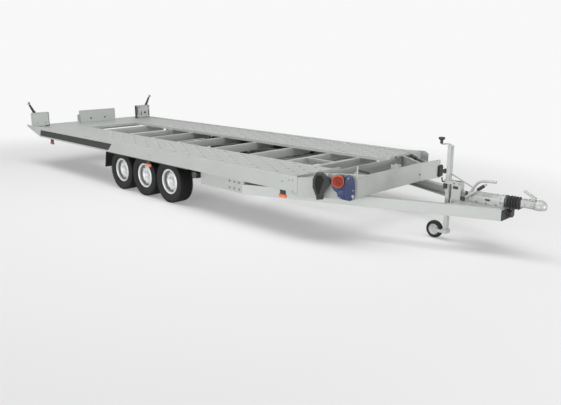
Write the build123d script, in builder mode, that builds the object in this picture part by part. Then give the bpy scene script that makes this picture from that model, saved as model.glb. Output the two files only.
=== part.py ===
from build123d import *
import math
import os

os.makedirs("parts", exist_ok=True)

# Tilting car trailer, millimetres. X is forward to the coupling, Y is to the left, Z is up.
# Places along X are measured from the middle axle. Each finished piece is then moved so that
# the origin lies on the ground, under the middle of the overall length.

# Wheels
tyre_diameter = 539.0
tyre_width = 195.0
tyre_shoulder = 28.0
rim_diameter = 310.0
rim_seat_gap = 0.5
rim_wall = 8.0
rim_width = 150.0
rim_disc = 12.0
rim_crown_radius = 88.0
rim_crown_out = 34.0
rim_dish_radius = 123.0
rim_dish_out = 14.0
hub_radius = 52.0
hub_inner_end = 42.0
hub_nose_radius = 38.0
hub_nose_out = 54.0
stub_radius = 18.0
stub_end = 18.0
bearing_play = 0.3
end_play = 5.0

# Axles
axle_spacing = 555.0
wheel_inset = 35.0
axle_arm = 150.0
axle_tube = 80.0
arm_width = 26.0
arm_to_tyre = 32.0
arm_half_height = 35.0

# Bed
bed_half_width = 1100.0
deck_over_tyre = 102.0
deck_sheet = 5.0
skirt_depth = 143.0
lip_height = 15.0
lip_width = 12.0
runway_inner = 450.0
runway_rear = -3430.0
runway_front = 2802.0
tail_wedge = 480.0
tail_plate_length = 900.0
member_below_deck = 36.0
member_height = 100.0
member_width = 60.0
member_inset = 12.0
rib_outer = 780.0
rib_middle = 620.0
long_member_y = 10.0
long_member_width = 45.0
long_member_height = 50.0
last_member_height = 80.0
member_places = [-3000.0, -2250.0, -1500.0, -190.0, 520.0, 1230.0, 1885.0, 2345.0]

# Tilt pivot
pivot_x = -950.0
pivot_below_members = 25.0
pivot_tube = 60.0
pivot_pin_radius = 20.0
ear_length = 100.0
ear_over_pin = 36.0
pin_overhang = 12.0
running_clearance = 0.3

# Tilt ram, upright under the middle of the bed
ram_to_pivot = 688.0
ram_eye_over_pivot = 30.0
ram_length = 280.0
ram_barrel_radius = 32.0
ram_rod_radius = 18.0
ram_rod_clearance = 0.4
ram_foot_radius = 24.0
ram_foot_pin_radius = 12.0
ram_foot_play = 4.0
ram_pin_radius = 10.0
ram_eye_play = 3.5
ram_eye_wall = 13.0
ram_eye_half_width = 16.0
ram_barrel_length = 240.0
ram_rod_bottom = 42.0
ram_cheek_inner = 40.0
ram_cheek = 12.0
ram_cheek_length = 90.0
ram_cheek_below = 25.0
eye_cheek_inner = 20.0
eye_cheek = 12.0
eye_cheek_below = 24.0

# Front of the bed
front_plate_over_deck = 29.0
front_plate_depth = 179.0
front_sheet = 6.0
beam_sheet = 9.0
front_beam_x = 3285.0
front_beam_half = 750.0
front_beam_set_back = 45.0
front_beam_middle = 430.0
front_beam_over_deck = 15.0
front_beam_depth = 201.0
beam_end_inset = 5.0
left_end_below_deck = 71.0
brace_start = 704.0
strap_hole_width = 18.0
strap_hole_height = 26.0
strap_hole_below_top = 20.0
strap_hole_inset = 23.0
strap_hole_left = 562.0
side_plate_x = 2552.0
side_plate_length = 356.0
side_plate_over_deck = 31.0
side_plate_corner = 50.0

# Chassis
rail_to_tyre = 68.0
rail_width = 60.0
rail_below_members = 15.0
rail_height = 105.0
rail_rear = -1010.0
frame_joint_x = 1950.0
outer_rail_rear = 1180.0
outer_rail_inset = 35.0
outer_rail_width = 60.0
outer_rail_height = 150.0
outer_rail_drop = 5.0
a_frame_drop = 40.0
a_frame_height = 107.0
a_frame_rear_half = 1064.0
a_frame_length_x = 2500.0
a_frame_front_half = 130.0
a_frame_flange = 60.0
section_wall = 6.0
seat_gap = 0.3
rest_pad_length = 56.0
rest_pad_inset = 16.0
beam_pad_length = 40.0
beam_pad_width = 32.0
cross_width = 60.0
cross_inset = 10.0
mid_cross_x = 2900.0

# Mudguards
guard_over_tyre = 17.0
guard_sheet = 5.0
guard_past_tyre = 13.0
guard_rear = 300.0
guard_front = 445.0
guard_lip = 165.0
guard_lip_drop = 101.0
guard_lip_fold = 60.0
guard_skirt = 81.0
flap_rear = 50.0
flap_drop = 61.0
flap_bottom = 265.0

# Jockey wheel
jockey_set_back = 624.0
jockey_tube_width = 50.0
jockey_tube_wall = 4.0
jockey_tube_round = 8.0
jockey_tube_height = 457.0
jockey_leg_length = 450.0
jockey_leg_play = 0.5
jockey_wheel_diameter = 180.0
jockey_wheel_width = 50.0
jockey_wheel_round = 12.0
jockey_trail = 125.0
jockey_travel = 380.0
jockey_axle_radius = 8.0
fork_play = 5.0
fork_plate = 8.0
fork_half = 28.0
fork_end = 22.0
fork_height = 15.0
crown_height = 25.0
crown_gap = 0.5
kingpin_radius = 12.0
kingpin_clearance = 0.4
kingpin_length = 30.0
bracket_half = 33.0
bracket_sheet = 8.0
bracket_height = 259.0
bracket_clear = 30.0
bracket_length = 128.0
collar_wall = 8.0
collar_height = 34.0
crank_radius = 9.0
crank_throw = 105.0
crank_rise = 16.0
knob_radius = 13.0
knob_height = 54.0
knob_bar = 60.0

# Coupling line
coupling_over_frame = 55.0
overrun_set_back = 350.0
overrun_length = 344.0
overrun_radius = 50.0
base_plate = 8.0
base_overhang = 90.0
base_inset = 5.0
collar_radius = 58.0
collar_length = 45.0
bellows_radius = 62.0
bellows_length = 136.0
shaft_radius = 24.5
ball_ahead = 290.0
head_radius = 62.0
head_half_width = 38.0
head_rise = 45.0
ball_radius = 25.5
ball_drop = 25.0
handle_set_back = 50.0
handle_half_width = 12.0
handle_length = 125.0
handle_rise = 83.0
plug_length = 42.0
plug_half_width = 40.0
plug_inset = 12.0
front_closing = 8.0

# Handbrake lever, its strut and the brake rod
lever_y = -68.0
lever_width = 16.0
lever_set_back = 420.0
lever_length = 318.0
lever_height = 230.0
strut_set_back = 414.0
strut_length = 229.0
strut_height = 180.0
strut_radius = 14.0
brake_rod_radius = 6.0
brake_rod_drop = 20.0

# Winch, its bracket and the wheel chock, set on the slanted end of the front beam
bracket_plate = 8.0
winch_start = 339.0
winch_length = 222.0
winch_depth = 87.0
winch_height = 244.0
winch_below_beam = 2.0
winch_round = 6.0
disc_radius = 58.0
disc_depth = 20.0
disc_along = 61.0
disc_up = 196.0
holder_start = 185.0
holder_height = 170.0
winch_plate_start = 300.0
winch_plate_end = 585.0
winch_plate_height = 250.0
winch_post_width = 12.0
winch_post_height = 77.0
chock_start = 158.0
chock_length = 175.0
chock_height = 257.0
chock_depth = 97.0
pulley_length = 70.0
pulley_half_width = 40.0
pulley_sheet = 8.0
pulley_over_beam = 34.0
pulley_height = 90.0
pulley_radius = 28.0

# Lamps and the plate panel
lamp_x = -3150.0
lamp_inset = 260.0
lamp_width = 280.0
lamp_depth = 45.0
lamp_height = 214.0
panel_x = -3190.0
panel_right = -262.0
panel_width = 679.0
panel_height = 207.0
panel_sheet = 20.0
plate_hole_radius = 6.5
plate_hole_spacing = 267.0
plate_hole_middle = 74.0
plate_hole_height = 66.0
stalk_foot_radius = 27.0
stalk_radius = 16.0
stalk_inset = 54.0
stalk_lean = 82.0
stalk_rise = 159.0
stalk_sink = 15.0
marker_radius = 26.0
marker_depth = 30.0
side_lamp_rear = -2540.0
side_lamp_middle = 190.0
side_lamp_front = 2604.0
side_lamp_length = 112.0
side_lamp_height = 80.0
side_lamp_depth = 21.0

# Heights and places that follow from the sizes above
axle_z = tyre_diameter / 2
wheel_face = bed_half_width - wheel_inset
outer_rail_face = wheel_face - outer_rail_inset
strap_hole_places = [strap_hole_inset - bed_half_width, strap_hole_left]
wheel_y = wheel_face - tyre_width / 2
rail_outer = wheel_face - tyre_width - rail_to_tyre
rail_inner = rail_outer - rail_width
member_half_length = rail_outer - member_inset
lamp_inner = bed_half_width - lamp_inset
deck_height = tyre_diameter + deck_over_tyre
skirt_bottom = deck_height - skirt_depth
member_top = deck_height - member_below_deck
member_bottom = member_top - member_height
pivot_z = member_bottom + pivot_below_members
rail_top = member_bottom - rail_below_members
rail_bottom = rail_top - rail_height
outer_rail_top = rail_top - outer_rail_drop
outer_rail_bottom = outer_rail_top - outer_rail_height
a_frame_top = rail_top - a_frame_drop
a_frame_bottom = a_frame_top - a_frame_height
a_frame_front_x = frame_joint_x + a_frame_length_x
jockey_x = a_frame_front_x - jockey_set_back
overrun_rear = a_frame_front_x - overrun_set_back
ball_x = a_frame_front_x + ball_ahead
lever_rear = a_frame_front_x - lever_set_back
strut_rear = a_frame_front_x - strut_set_back
tail_plate_front = runway_rear + tail_plate_length
plate_top = deck_height + front_plate_over_deck
beam_top = deck_height + front_beam_over_deck
beam_bottom = beam_top - front_beam_depth
ram_x = pivot_x + ram_to_pivot
ram_eye_z = pivot_z + ram_eye_over_pivot
ram_foot_z = ram_eye_z - ram_length
coupling_z = a_frame_top + coupling_over_frame
overrun_front = overrun_rear + overrun_length
bellows_front = overrun_front + bellows_length
coupling_front = ball_x + head_radius
origin_x = (coupling_front + runway_rear) / 2


def block(x0, x1, y0, y1, z0, z1, mode=Mode.ADD):
    # A rectangular block between two corners, in the part being made
    with Locations(((x0 + x1) / 2, (y0 + y1) / 2, (z0 + z1) / 2)):
        Box(abs(x1 - x0), abs(y1 - y0), abs(z1 - z0), mode=mode)


def rod_along_y(x, z, radius, y0, y1, mode=Mode.ADD):
    # A round bar across the trailer
    with Locations((x, (y0 + y1) / 2, z)):
        Cylinder(radius, abs(y1 - y0), rotation=(90, 0, 0), mode=mode)


def rod_along_x(y, z, radius, x0, x1, mode=Mode.ADD):
    # A round bar along the trailer
    with Locations(((x0 + x1) / 2, y, z)):
        Cylinder(radius, abs(x1 - x0), rotation=(0, 90, 0), mode=mode)


def rod_along_z(x, y, radius, z0, z1, mode=Mode.ADD):
    # An upright round bar
    with Locations((x, y, (z0 + z1) / 2)):
        Cylinder(radius, abs(z1 - z0), mode=mode)


def side_slab(points, y0, y1, mode=Mode.ADD):
    # A slab between two places across the trailer, from the (x, z) points of its outline
    low, high = sorted((y0, y1))
    with BuildSketch(Plane.XZ.offset(-high)) as outline:
        with BuildLine():
            Polyline(*points, close=True)
        make_face()
    extrude(outline.sketch, amount=high - low, mode=mode)


def turned_about_axle(points, place, sign):
    # A ring round the axle from points of (distance out from the wheel's middle, radius)
    with BuildSketch(Plane.YZ) as outline:
        with BuildLine():
            Polyline(*[(sign * (wheel_y + out), axle_z + radius) for out, radius in points], close=True)
        make_face()
    revolve(outline.sketch.moved(Location((place, 0, 0))), axis=Axis((place, 0, axle_z), (0, 1, 0)))


def hand_in(piece, name):
    # Moves a finished piece to the shared origin, names it and writes its file
    piece.part = piece.part.moved(Location((-origin_x, 0, 0)))
    piece.part.label = name
    export_step(piece.part, f"parts/{name}.step")


sides = {"left": 1, "right": -1}
axle_places = {"front": axle_spacing, "middle": 0.0, "rear": -axle_spacing}

# Wheels, each a tyre on a dished steel rim
rim_outer = rim_diameter / 2 - rim_seat_gap
rim_inner = rim_outer - rim_wall
rim_profile = [
    (-rim_width / 2, rim_outer), (rim_width / 2, rim_outer), (rim_width / 2, rim_inner),
    (rim_crown_out, rim_inner), (rim_dish_out, rim_dish_radius), (rim_crown_out, rim_crown_radius),
    (rim_dish_out + rim_disc, hub_radius), (rim_dish_out + rim_disc, hub_nose_radius),
    (hub_nose_out, hub_nose_radius), (hub_nose_out, 0), (stub_end + end_play, 0),
    (stub_end + end_play, stub_radius + bearing_play), (-hub_inner_end, stub_radius + bearing_play),
    (-hub_inner_end, hub_radius), (rim_dish_out, hub_radius),
    (rim_crown_out - rim_disc, rim_crown_radius), (rim_dish_out - rim_disc, rim_dish_radius),
    (rim_crown_out - rim_disc, rim_inner), (-rim_width / 2, rim_inner),
]
for row, place in axle_places.items():
    for side, sign in sides.items():
        with BuildPart() as tyre:
            with BuildSketch(Plane.YZ.offset(place)):
                with Locations((sign * wheel_y, axle_z + (tyre_diameter + rim_diameter) / 4)):
                    RectangleRounded(tyre_width, (tyre_diameter - rim_diameter) / 2, tyre_shoulder)
            revolve(axis=Axis((place, 0, axle_z), (0, 1, 0)))
        hand_in(tyre, f"tyre_{row}_{side}")

        with BuildPart() as rim:
            turned_about_axle(rim_profile, place, sign)
        hand_in(rim, f"rim_{row}_{side}")

# Axles: a cross tube ahead of the wheels, two trailing arms and the stubs
arm_outer = wheel_face - tyre_width - arm_to_tyre
arm_inner = arm_outer - arm_width
axle_tube_z = rail_bottom - axle_tube / 2
with BuildPart() as axles:
    for place in axle_places.values():
        tube_x = place + axle_arm
        block(tube_x - axle_tube / 2, tube_x + axle_tube / 2, -arm_outer, arm_outer,
              axle_tube_z - axle_tube / 2, axle_tube_z + axle_tube / 2)
        for sign in sides.values():
            arm = [
                (tube_x + arm_half_height, axle_tube_z + arm_half_height),
                (tube_x - arm_half_height, axle_tube_z + arm_half_height),
                (place - arm_half_height, axle_z + arm_half_height),
                (place - arm_half_height, axle_z - arm_half_height),
                (place + arm_half_height, axle_z - arm_half_height),
                (tube_x + arm_half_height, axle_tube_z - arm_half_height),
            ]
            side_slab(arm, sign * arm_inner, sign * arm_outer)
            rod_along_y(place, axle_z, stub_radius, sign * arm_inner, sign * (wheel_y + stub_end))
hand_in(axles, "axles")

# Side rails: the main rails inside the wheels, and the outer rails ahead of them
rest_pad_x = member_places[-2]
with BuildPart() as side_rails:
    for sign in sides.values():
        block(rail_rear, frame_joint_x, sign * rail_inner, sign * rail_outer, rail_bottom, rail_top)
        block(rail_rear + section_wall, frame_joint_x - section_wall,
              sign * (rail_inner - section_wall), sign * (rail_outer - section_wall),
              rail_bottom + section_wall, rail_top - section_wall, mode=Mode.SUBTRACT)
        block(pivot_x - ear_length / 2, pivot_x + ear_length / 2, sign * rail_inner, sign * rail_outer,
              rail_top - section_wall, pivot_z + ear_over_pin)
        rod_along_y(pivot_x, pivot_z, pivot_pin_radius + running_clearance,
                    sign * (rail_inner - section_wall), sign * (rail_outer + section_wall), mode=Mode.SUBTRACT)
        block(outer_rail_rear, frame_joint_x, sign * (outer_rail_face - outer_rail_width), sign * outer_rail_face,
              outer_rail_bottom, outer_rail_top)
        # Pad that the bed comes down on
        block(rest_pad_x - rest_pad_length / 2, rest_pad_x + rest_pad_length / 2,
              sign * (rail_inner + section_wall), sign * (rail_outer - rest_pad_inset),
              rail_top, member_bottom - seat_gap)
hand_in(side_rails, "side_rails")


def a_frame_half(x):
    # Half the outer width of the A-frame at a place along the trailer
    share = (x - frame_joint_x) / a_frame_length_x
    return a_frame_rear_half + share * (a_frame_front_half - a_frame_rear_half)


# A-frame: two channel beams that run together to the coupling
a_frame_angle = math.degrees(math.atan2(a_frame_rear_half - a_frame_front_half, a_frame_length_x))
a_frame_length = math.hypot(a_frame_length_x, a_frame_rear_half - a_frame_front_half)
with BuildPart() as a_frame:
    for sign in sides.values():
        corner = Plane(
            origin=(frame_joint_x, sign * a_frame_rear_half, 0),
            x_dir=(math.cos(math.radians(a_frame_angle)), -sign * math.sin(math.radians(a_frame_angle)), 0),
            z_dir=(-math.sin(math.radians(a_frame_angle)), -sign * math.cos(math.radians(a_frame_angle)), 0),
        )
        upward = 1 if corner.y_dir.Z > 0 else -1
        middle_height = (a_frame_top + a_frame_bottom) / 2
        with BuildSketch(corner):
            with Locations((a_frame_length / 2, upward * middle_height)):
                Rectangle(a_frame_length + 2 * a_frame_flange, a_frame_height)
        extrude(amount=a_frame_flange)
        with BuildSketch(corner.offset(section_wall)):
            with Locations((a_frame_length / 2, upward * middle_height)):
                Rectangle(a_frame_length + 4 * a_frame_flange, a_frame_height - 2 * section_wall)
        extrude(amount=a_frame_flange, mode=Mode.SUBTRACT)
    spare = 4 * a_frame_flange
    for x0, x1 in ((frame_joint_x - spare, frame_joint_x), (a_frame_front_x, a_frame_front_x + spare)):
        block(x0, x1, -a_frame_rear_half - spare, a_frame_rear_half + spare,
              a_frame_bottom - section_wall, a_frame_top + section_wall, mode=Mode.SUBTRACT)
    for sign in sides.values():
        # Pad that the front beam comes down on
        pad_x = front_beam_x - beam_pad_length / 2 - beam_end_inset
        pad_y = a_frame_half(pad_x) - a_frame_flange / 2
        block(pad_x - beam_pad_length / 2, pad_x + beam_pad_length / 2,
              sign * (pad_y - beam_pad_width / 2), sign * (pad_y + beam_pad_width / 2),
              a_frame_top, beam_bottom - seat_gap)
hand_in(a_frame, "a_frame")

# Chassis cross-members, with the foot of the ram and the bracket of the jockey wheel
a_frame_inset = section_wall / math.cos(math.radians(a_frame_angle))
rail_cross = (rail_bottom + cross_inset, rail_top - cross_inset)
frame_cross = (a_frame_bottom + section_wall + seat_gap, a_frame_top - section_wall - seat_gap)
joint_cross = (rail_bottom + cross_inset, frame_cross[1])
joint_cross_x = frame_joint_x - section_wall - cross_width
side_cross_x = outer_rail_rear + cross_inset
ram_cross_x = ram_x - ram_foot_radius - cross_inset + ram_cheek_length
bracket_front = jockey_x + jockey_tube_width / 2 + bracket_length
bracket_foot = frame_cross[0] + cross_inset
bracket_top = bracket_foot + bracket_height
with BuildPart() as chassis_crossmembers:
    for x, heights in ((rail_rear + section_wall, rail_cross), (side_cross_x, rail_cross),
                       (joint_cross_x, joint_cross), (ram_cross_x, rail_cross)):
        block(x, x + cross_width, -rail_outer + section_wall, rail_outer - section_wall, *heights)
    for sign in sides.values():
        for x, heights in ((side_cross_x, rail_cross), (joint_cross_x, joint_cross)):
            block(x, x + cross_width, sign * rail_outer, sign * (outer_rail_face - outer_rail_width), *heights)
        block(ram_cross_x - ram_cheek_length, ram_cross_x,
              sign * ram_cheek_inner, sign * (ram_cheek_inner + ram_cheek),
              ram_foot_z - ram_cheek_below, rail_cross[1])
    for x in (mid_cross_x, bracket_front + seat_gap):
        half = a_frame_half(x + cross_width) - a_frame_inset - seat_gap
        block(x, x + cross_width, -half, half, *frame_cross)
    rod_along_y(ram_x, ram_foot_z, ram_foot_pin_radius, -ram_cheek_inner - ram_cheek, ram_cheek_inner + ram_cheek)
    # Bracket of the jockey wheel: two cheeks with a back, and a collar round the tube
    tube_half = jockey_tube_width / 2
    for sign in sides.values():
        block(jockey_x + tube_half + bracket_clear, bracket_front, sign * (bracket_half - bracket_sheet),
              sign * bracket_half, bracket_foot, bracket_top)
    block(bracket_front - bracket_sheet, bracket_front, -bracket_half, bracket_half, bracket_foot, bracket_top)
    block(jockey_x - tube_half - collar_wall, jockey_x + tube_half + 2 * bracket_clear, -bracket_half, bracket_half,
          bracket_top - collar_height, bracket_top)
    block(jockey_x - tube_half, jockey_x + tube_half, -tube_half, tube_half,
          bracket_top - 2 * collar_height, bracket_top + collar_height, mode=Mode.SUBTRACT)
hand_in(chassis_crossmembers, "chassis_crossmembers")

# Ram: the barrel turns on the foot pin, and the rod's eye takes the bed's pin with play
with BuildPart() as ram_barrel:
    rod_along_y(ram_x, ram_foot_z, ram_foot_radius, -ram_cheek_inner + ram_foot_play, ram_cheek_inner - ram_foot_play)
    rod_along_z(ram_x, 0, ram_barrel_radius, ram_foot_z + ram_foot_pin_radius, ram_foot_z + ram_barrel_length)
    rod_along_z(ram_x, 0, ram_rod_radius + ram_rod_clearance, ram_foot_z + ram_rod_bottom - seat_gap,
                ram_foot_z + ram_barrel_length, mode=Mode.SUBTRACT)
    rod_along_y(ram_x, ram_foot_z, ram_foot_pin_radius + running_clearance, -ram_cheek_inner, ram_cheek_inner,
                mode=Mode.SUBTRACT)
hand_in(ram_barrel, "ram_barrel")

with BuildPart() as ram_rod:
    rod_along_z(ram_x, 0, ram_rod_radius, ram_foot_z + ram_rod_bottom, ram_eye_z - ram_pin_radius)
    rod_along_y(ram_x, ram_eye_z, ram_pin_radius + ram_eye_play + ram_eye_wall, -ram_eye_half_width, ram_eye_half_width)
    rod_along_y(ram_x, ram_eye_z, ram_pin_radius + ram_eye_play, -eye_cheek_inner, eye_cheek_inner, mode=Mode.SUBTRACT)
hand_in(ram_rod, "ram_rod")

# Jockey tube, a square tube with a closed top and its crank
crown_top = jockey_wheel_diameter / 2 + crown_height
tube_bottom = crown_top + jockey_travel + fork_play
tube_top = tube_bottom + jockey_tube_height
with BuildPart() as jockey_tube:
    block(jockey_x - tube_half, jockey_x + tube_half, -tube_half, tube_half, tube_bottom, tube_top)
    fillet(jockey_tube.edges().filter_by(Axis.Z), jockey_tube_round)
    hole = tube_half - jockey_tube_wall
    block(jockey_x - hole, jockey_x + hole, -hole, hole, tube_bottom, tube_top - jockey_tube_wall, mode=Mode.SUBTRACT)
    rod_along_z(jockey_x, 0, crank_radius, tube_top, tube_top + crank_rise)
    block(jockey_x - crank_throw - crank_radius, jockey_x + crank_radius, -crank_radius, crank_radius,
          tube_top + crank_rise / 2, tube_top + crank_rise)
    rod_along_z(jockey_x - crank_throw, 0, knob_radius, tube_top + crank_rise, tube_top + crank_rise + knob_height)
    block(jockey_x - crank_throw - knob_bar / 2, jockey_x - crank_throw + knob_bar / 2, -knob_radius, knob_radius,
          tube_top + knob_height, tube_top + crank_rise + knob_height)
hand_in(jockey_tube, "jockey_tube")

# Jockey leg, fork and wheel, down on the ground
jockey_axle_z = jockey_wheel_diameter / 2
with BuildPart() as jockey_leg:
    half = tube_half - jockey_tube_wall - jockey_leg_play
    block(jockey_x - half, jockey_x + half, -half, half, crown_top + crown_gap, crown_top + jockey_leg_length)
    rod_along_z(jockey_x, 0, kingpin_radius + kingpin_clearance, crown_top, crown_top + kingpin_length,
                mode=Mode.SUBTRACT)
hand_in(jockey_leg, "jockey_leg")

fork_gap = jockey_wheel_width / 2 + fork_play
with BuildPart() as jockey_fork:
    block(jockey_x - fork_half, jockey_x + fork_half, -fork_gap - fork_plate, fork_gap + fork_plate,
          jockey_axle_z - fork_height, crown_top)
    for sign in sides.values():
        block(jockey_x - jockey_trail - fork_end, jockey_x + fork_half, sign * fork_gap,
              sign * (fork_gap + fork_plate), jockey_axle_z - fork_height, jockey_axle_z + fork_height)
    rod_along_z(jockey_x, 0, kingpin_radius, crown_top - crown_gap, crown_top + kingpin_length - fork_play)
    rod_along_y(jockey_x - jockey_trail, jockey_axle_z, jockey_axle_radius,
                -fork_gap - fork_plate - fork_play, fork_gap + fork_plate + fork_play)
hand_in(jockey_fork, "jockey_fork")

with BuildPart() as jockey_wheel:
    rod_along_y(jockey_x - jockey_trail, jockey_axle_z, jockey_wheel_diameter / 2,
                -jockey_wheel_width / 2, jockey_wheel_width / 2)
    fillet(jockey_wheel.edges().filter_by(GeomType.CIRCLE), jockey_wheel_round)
    rod_along_y(jockey_x - jockey_trail, jockey_axle_z, jockey_axle_radius + running_clearance,
                -jockey_wheel_width, jockey_wheel_width, mode=Mode.SUBTRACT)
hand_in(jockey_wheel, "jockey_wheel")

# Mudguards over the three wheels of each side, flanged to the main rails
guard_top = tyre_diameter + guard_over_tyre + guard_sheet
guard_outer = wheel_face + guard_past_tyre
guard_rear_x = -axle_spacing - guard_rear
guard_front_x = axle_spacing + guard_front
guard_line = [
    (guard_rear_x - 2 * flap_rear, flap_bottom),
    (guard_rear_x - flap_rear, guard_top - flap_drop),
    (guard_rear_x, guard_top),
    (guard_front_x, guard_top),
    (guard_front_x + guard_lip, guard_top - guard_lip_drop),
    (guard_front_x + guard_lip - 3 * guard_sheet, guard_top - guard_lip_drop - guard_lip_fold),
]
guard_inside = [
    (guard_front_x + guard_lip - 4 * guard_sheet, guard_top - guard_lip_drop - guard_lip_fold),
    (guard_front_x + guard_lip - guard_sheet, guard_top - guard_lip_drop),
    (guard_front_x - guard_sheet / 2, guard_top - guard_sheet),
    (guard_rear_x + guard_sheet / 2, guard_top - guard_sheet),
    (guard_rear_x - flap_rear + guard_sheet, guard_top - flap_drop),
    (guard_rear_x - 2 * flap_rear + guard_sheet, flap_bottom),
]
with BuildPart() as mudguards:
    for sign in sides.values():
        side_slab(guard_line + guard_inside, sign * rail_outer, sign * guard_outer)
        block(guard_rear_x, guard_front_x, sign * (guard_outer - guard_sheet), sign * guard_outer,
              guard_top - guard_skirt, guard_top - guard_sheet / 2)
        block(guard_rear_x + guard_sheet, guard_front_x - 2 * guard_sheet, sign * rail_outer,
              sign * (rail_outer + guard_sheet), rail_top - rail_height / 2, guard_top - guard_sheet / 2)
hand_in(mudguards, "mudguards")

# Overrun unit on a base plate across the front of the A-frame
base_rear = overrun_rear - base_overhang
base_front = overrun_front - base_inset
with BuildPart() as overrun_unit:
    with BuildSketch(Plane.XY.offset(a_frame_top)):
        with BuildLine():
            Polyline(
                (base_rear, a_frame_half(base_rear) - base_inset),
                (base_front, a_frame_half(base_front) - base_inset),
                (base_front, -a_frame_half(base_front) + base_inset),
                (base_rear, -a_frame_half(base_rear) + base_inset),
                close=True,
            )
        make_face()
    extrude(amount=base_plate)
    block(overrun_rear, overrun_front - collar_length / 2, -overrun_radius, overrun_radius,
          a_frame_top + base_plate / 2, coupling_z)
    rod_along_x(0, coupling_z, overrun_radius, overrun_rear, overrun_front - collar_length / 2)
    rod_along_x(0, coupling_z, collar_radius, overrun_front - collar_length, overrun_front)
    block(base_rear, overrun_front + bellows_length, -2 * collar_radius, 2 * collar_radius,
          a_frame_bottom, a_frame_top, mode=Mode.SUBTRACT)
hand_in(overrun_unit, "overrun_unit")

with BuildPart() as bellows:
    rod_along_x(0, coupling_z, bellows_radius, overrun_front + seat_gap, bellows_front)
    rod_along_x(0, coupling_z, shaft_radius + seat_gap, overrun_front, bellows_front + seat_gap, mode=Mode.SUBTRACT)
hand_in(bellows, "bellows")

# Coupling head with the half-round socket for the ball
with BuildPart() as coupling_head:
    rod_along_x(0, coupling_z, shaft_radius, overrun_front + seat_gap, bellows_front + shaft_radius)
    block(bellows_front + seat_gap, ball_x, -head_half_width, head_half_width,
          coupling_z - ball_drop, coupling_z + head_rise)
    with Locations((ball_x, 0, coupling_z)):
        Sphere(head_radius)
    block(bellows_front, coupling_front + head_radius, -2 * head_radius, 2 * head_radius,
          coupling_z - 2 * head_radius, coupling_z - ball_drop, mode=Mode.SUBTRACT)
    with Locations((ball_x, 0, coupling_z - ball_drop)):
        Sphere(ball_radius, mode=Mode.SUBTRACT)
hand_in(coupling_head, "coupling_head")

handle_x = ball_x - handle_set_back
handle_foot = coupling_z + head_rise + seat_gap
with BuildPart() as coupling_handle:
    handle = [
        (handle_x, handle_foot),
        (handle_x + handle_length * 0.12, handle_foot + handle_rise * 0.32),
        (handle_x - handle_length * 0.78, handle_foot + handle_rise),
        (handle_x - handle_length * 0.88, handle_foot + handle_rise * 0.83),
        (handle_x - handle_length * 0.22, handle_foot + handle_rise * 0.30),
        (handle_x - handle_length * 0.3, handle_foot),
    ]
    side_slab(handle, -handle_half_width, handle_half_width)
hand_in(coupling_handle, "coupling_handle")

# Closing plate of the A-frame and the plug holder on it
with BuildPart() as plug_holder:
    block(a_frame_front_x + front_closing, a_frame_front_x + front_closing + plug_length,
          -plug_half_width, plug_half_width, a_frame_bottom + plug_inset, a_frame_top - plug_inset)
    block(a_frame_front_x, a_frame_front_x + front_closing, -a_frame_front_half, a_frame_front_half,
          a_frame_bottom, a_frame_top - plug_inset)
hand_in(plug_holder, "plug_holder")

# Handbrake lever beside the overrun unit
lever_foot = a_frame_top + base_plate
with BuildPart() as handbrake_lever:
    lever = [
        (lever_rear, lever_foot),
        (lever_rear + lever_length * 0.15, lever_foot),
        (lever_rear + lever_length * 0.49, lever_foot + lever_height * 0.82),
        (lever_rear + lever_length, lever_foot + lever_height * 0.89),
        (lever_rear + lever_length, lever_foot + lever_height),
        (lever_rear + lever_length * 0.42, lever_foot + lever_height * 0.95),
    ]
    side_slab(lever, lever_y, lever_y + lever_width)
hand_in(handbrake_lever, "handbrake_lever")

# Gas strut against the outer face of the lever
strut_bottom = lever_foot + strut_radius
with BuildPart() as gas_strut:
    strut_plane = Plane(
        origin=(strut_rear, lever_y - strut_radius, strut_bottom),
        z_dir=(strut_length, 0, strut_height),
    )
    with BuildSketch(strut_plane):
        Circle(strut_radius)
    extrude(amount=math.hypot(strut_length, strut_height))
hand_in(gas_strut, "gas_strut")

# Brake rod along the middle, from the front axle to the cross-member of the A-frame
with BuildPart() as brake_rod:
    rod_along_x(0, rail_bottom - brake_rod_drop, brake_rod_radius,
                axle_spacing + axle_arm + axle_tube / 2, mid_cross_x)
hand_in(brake_rod, "brake_rod")

# Bed runways: sheet decks on ribs
tail_cut = [
    (runway_rear - deck_sheet, deck_height - deck_sheet),
    (runway_rear, deck_height - deck_sheet),
    (runway_rear + tail_wedge, skirt_bottom),
    (runway_rear + tail_wedge, skirt_bottom - deck_sheet),
    (runway_rear - deck_sheet, skirt_bottom - deck_sheet),
]
with BuildPart() as runways:
    for sign in sides.values():
        block(runway_rear, runway_front, sign * runway_inner, sign * (bed_half_width - lip_width),
              deck_height - deck_sheet, deck_height)
    side_slab(tail_cut, -2 * bed_half_width, 2 * bed_half_width, mode=Mode.SUBTRACT)
hand_in(runways, "runways")

# Outer skirts with their raised lips, and the side plate at the front of the left one
side_plate = [
    (side_plate_x, deck_height + lip_height),
    (side_plate_x + side_plate_length - side_plate_corner, deck_height + side_plate_over_deck),
    (side_plate_x + side_plate_length, deck_height),
    (side_plate_x + side_plate_length, skirt_bottom + side_plate_over_deck),
    (runway_front + front_sheet, skirt_bottom),
    (side_plate_x, skirt_bottom),
]
with BuildPart() as side_skirts:
    for sign in sides.values():
        block(runway_rear, runway_front, sign * (bed_half_width - deck_sheet), sign * bed_half_width,
              skirt_bottom, deck_height)
        block(runway_rear, runway_front, sign * (bed_half_width - lip_width), sign * bed_half_width,
              deck_height - deck_sheet, deck_height + lip_height)
    side_slab(tail_cut, -2 * bed_half_width, 2 * bed_half_width, mode=Mode.SUBTRACT)
    side_slab(side_plate, bed_half_width, bed_half_width + deck_sheet)
hand_in(side_skirts, "side_skirts")

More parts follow.
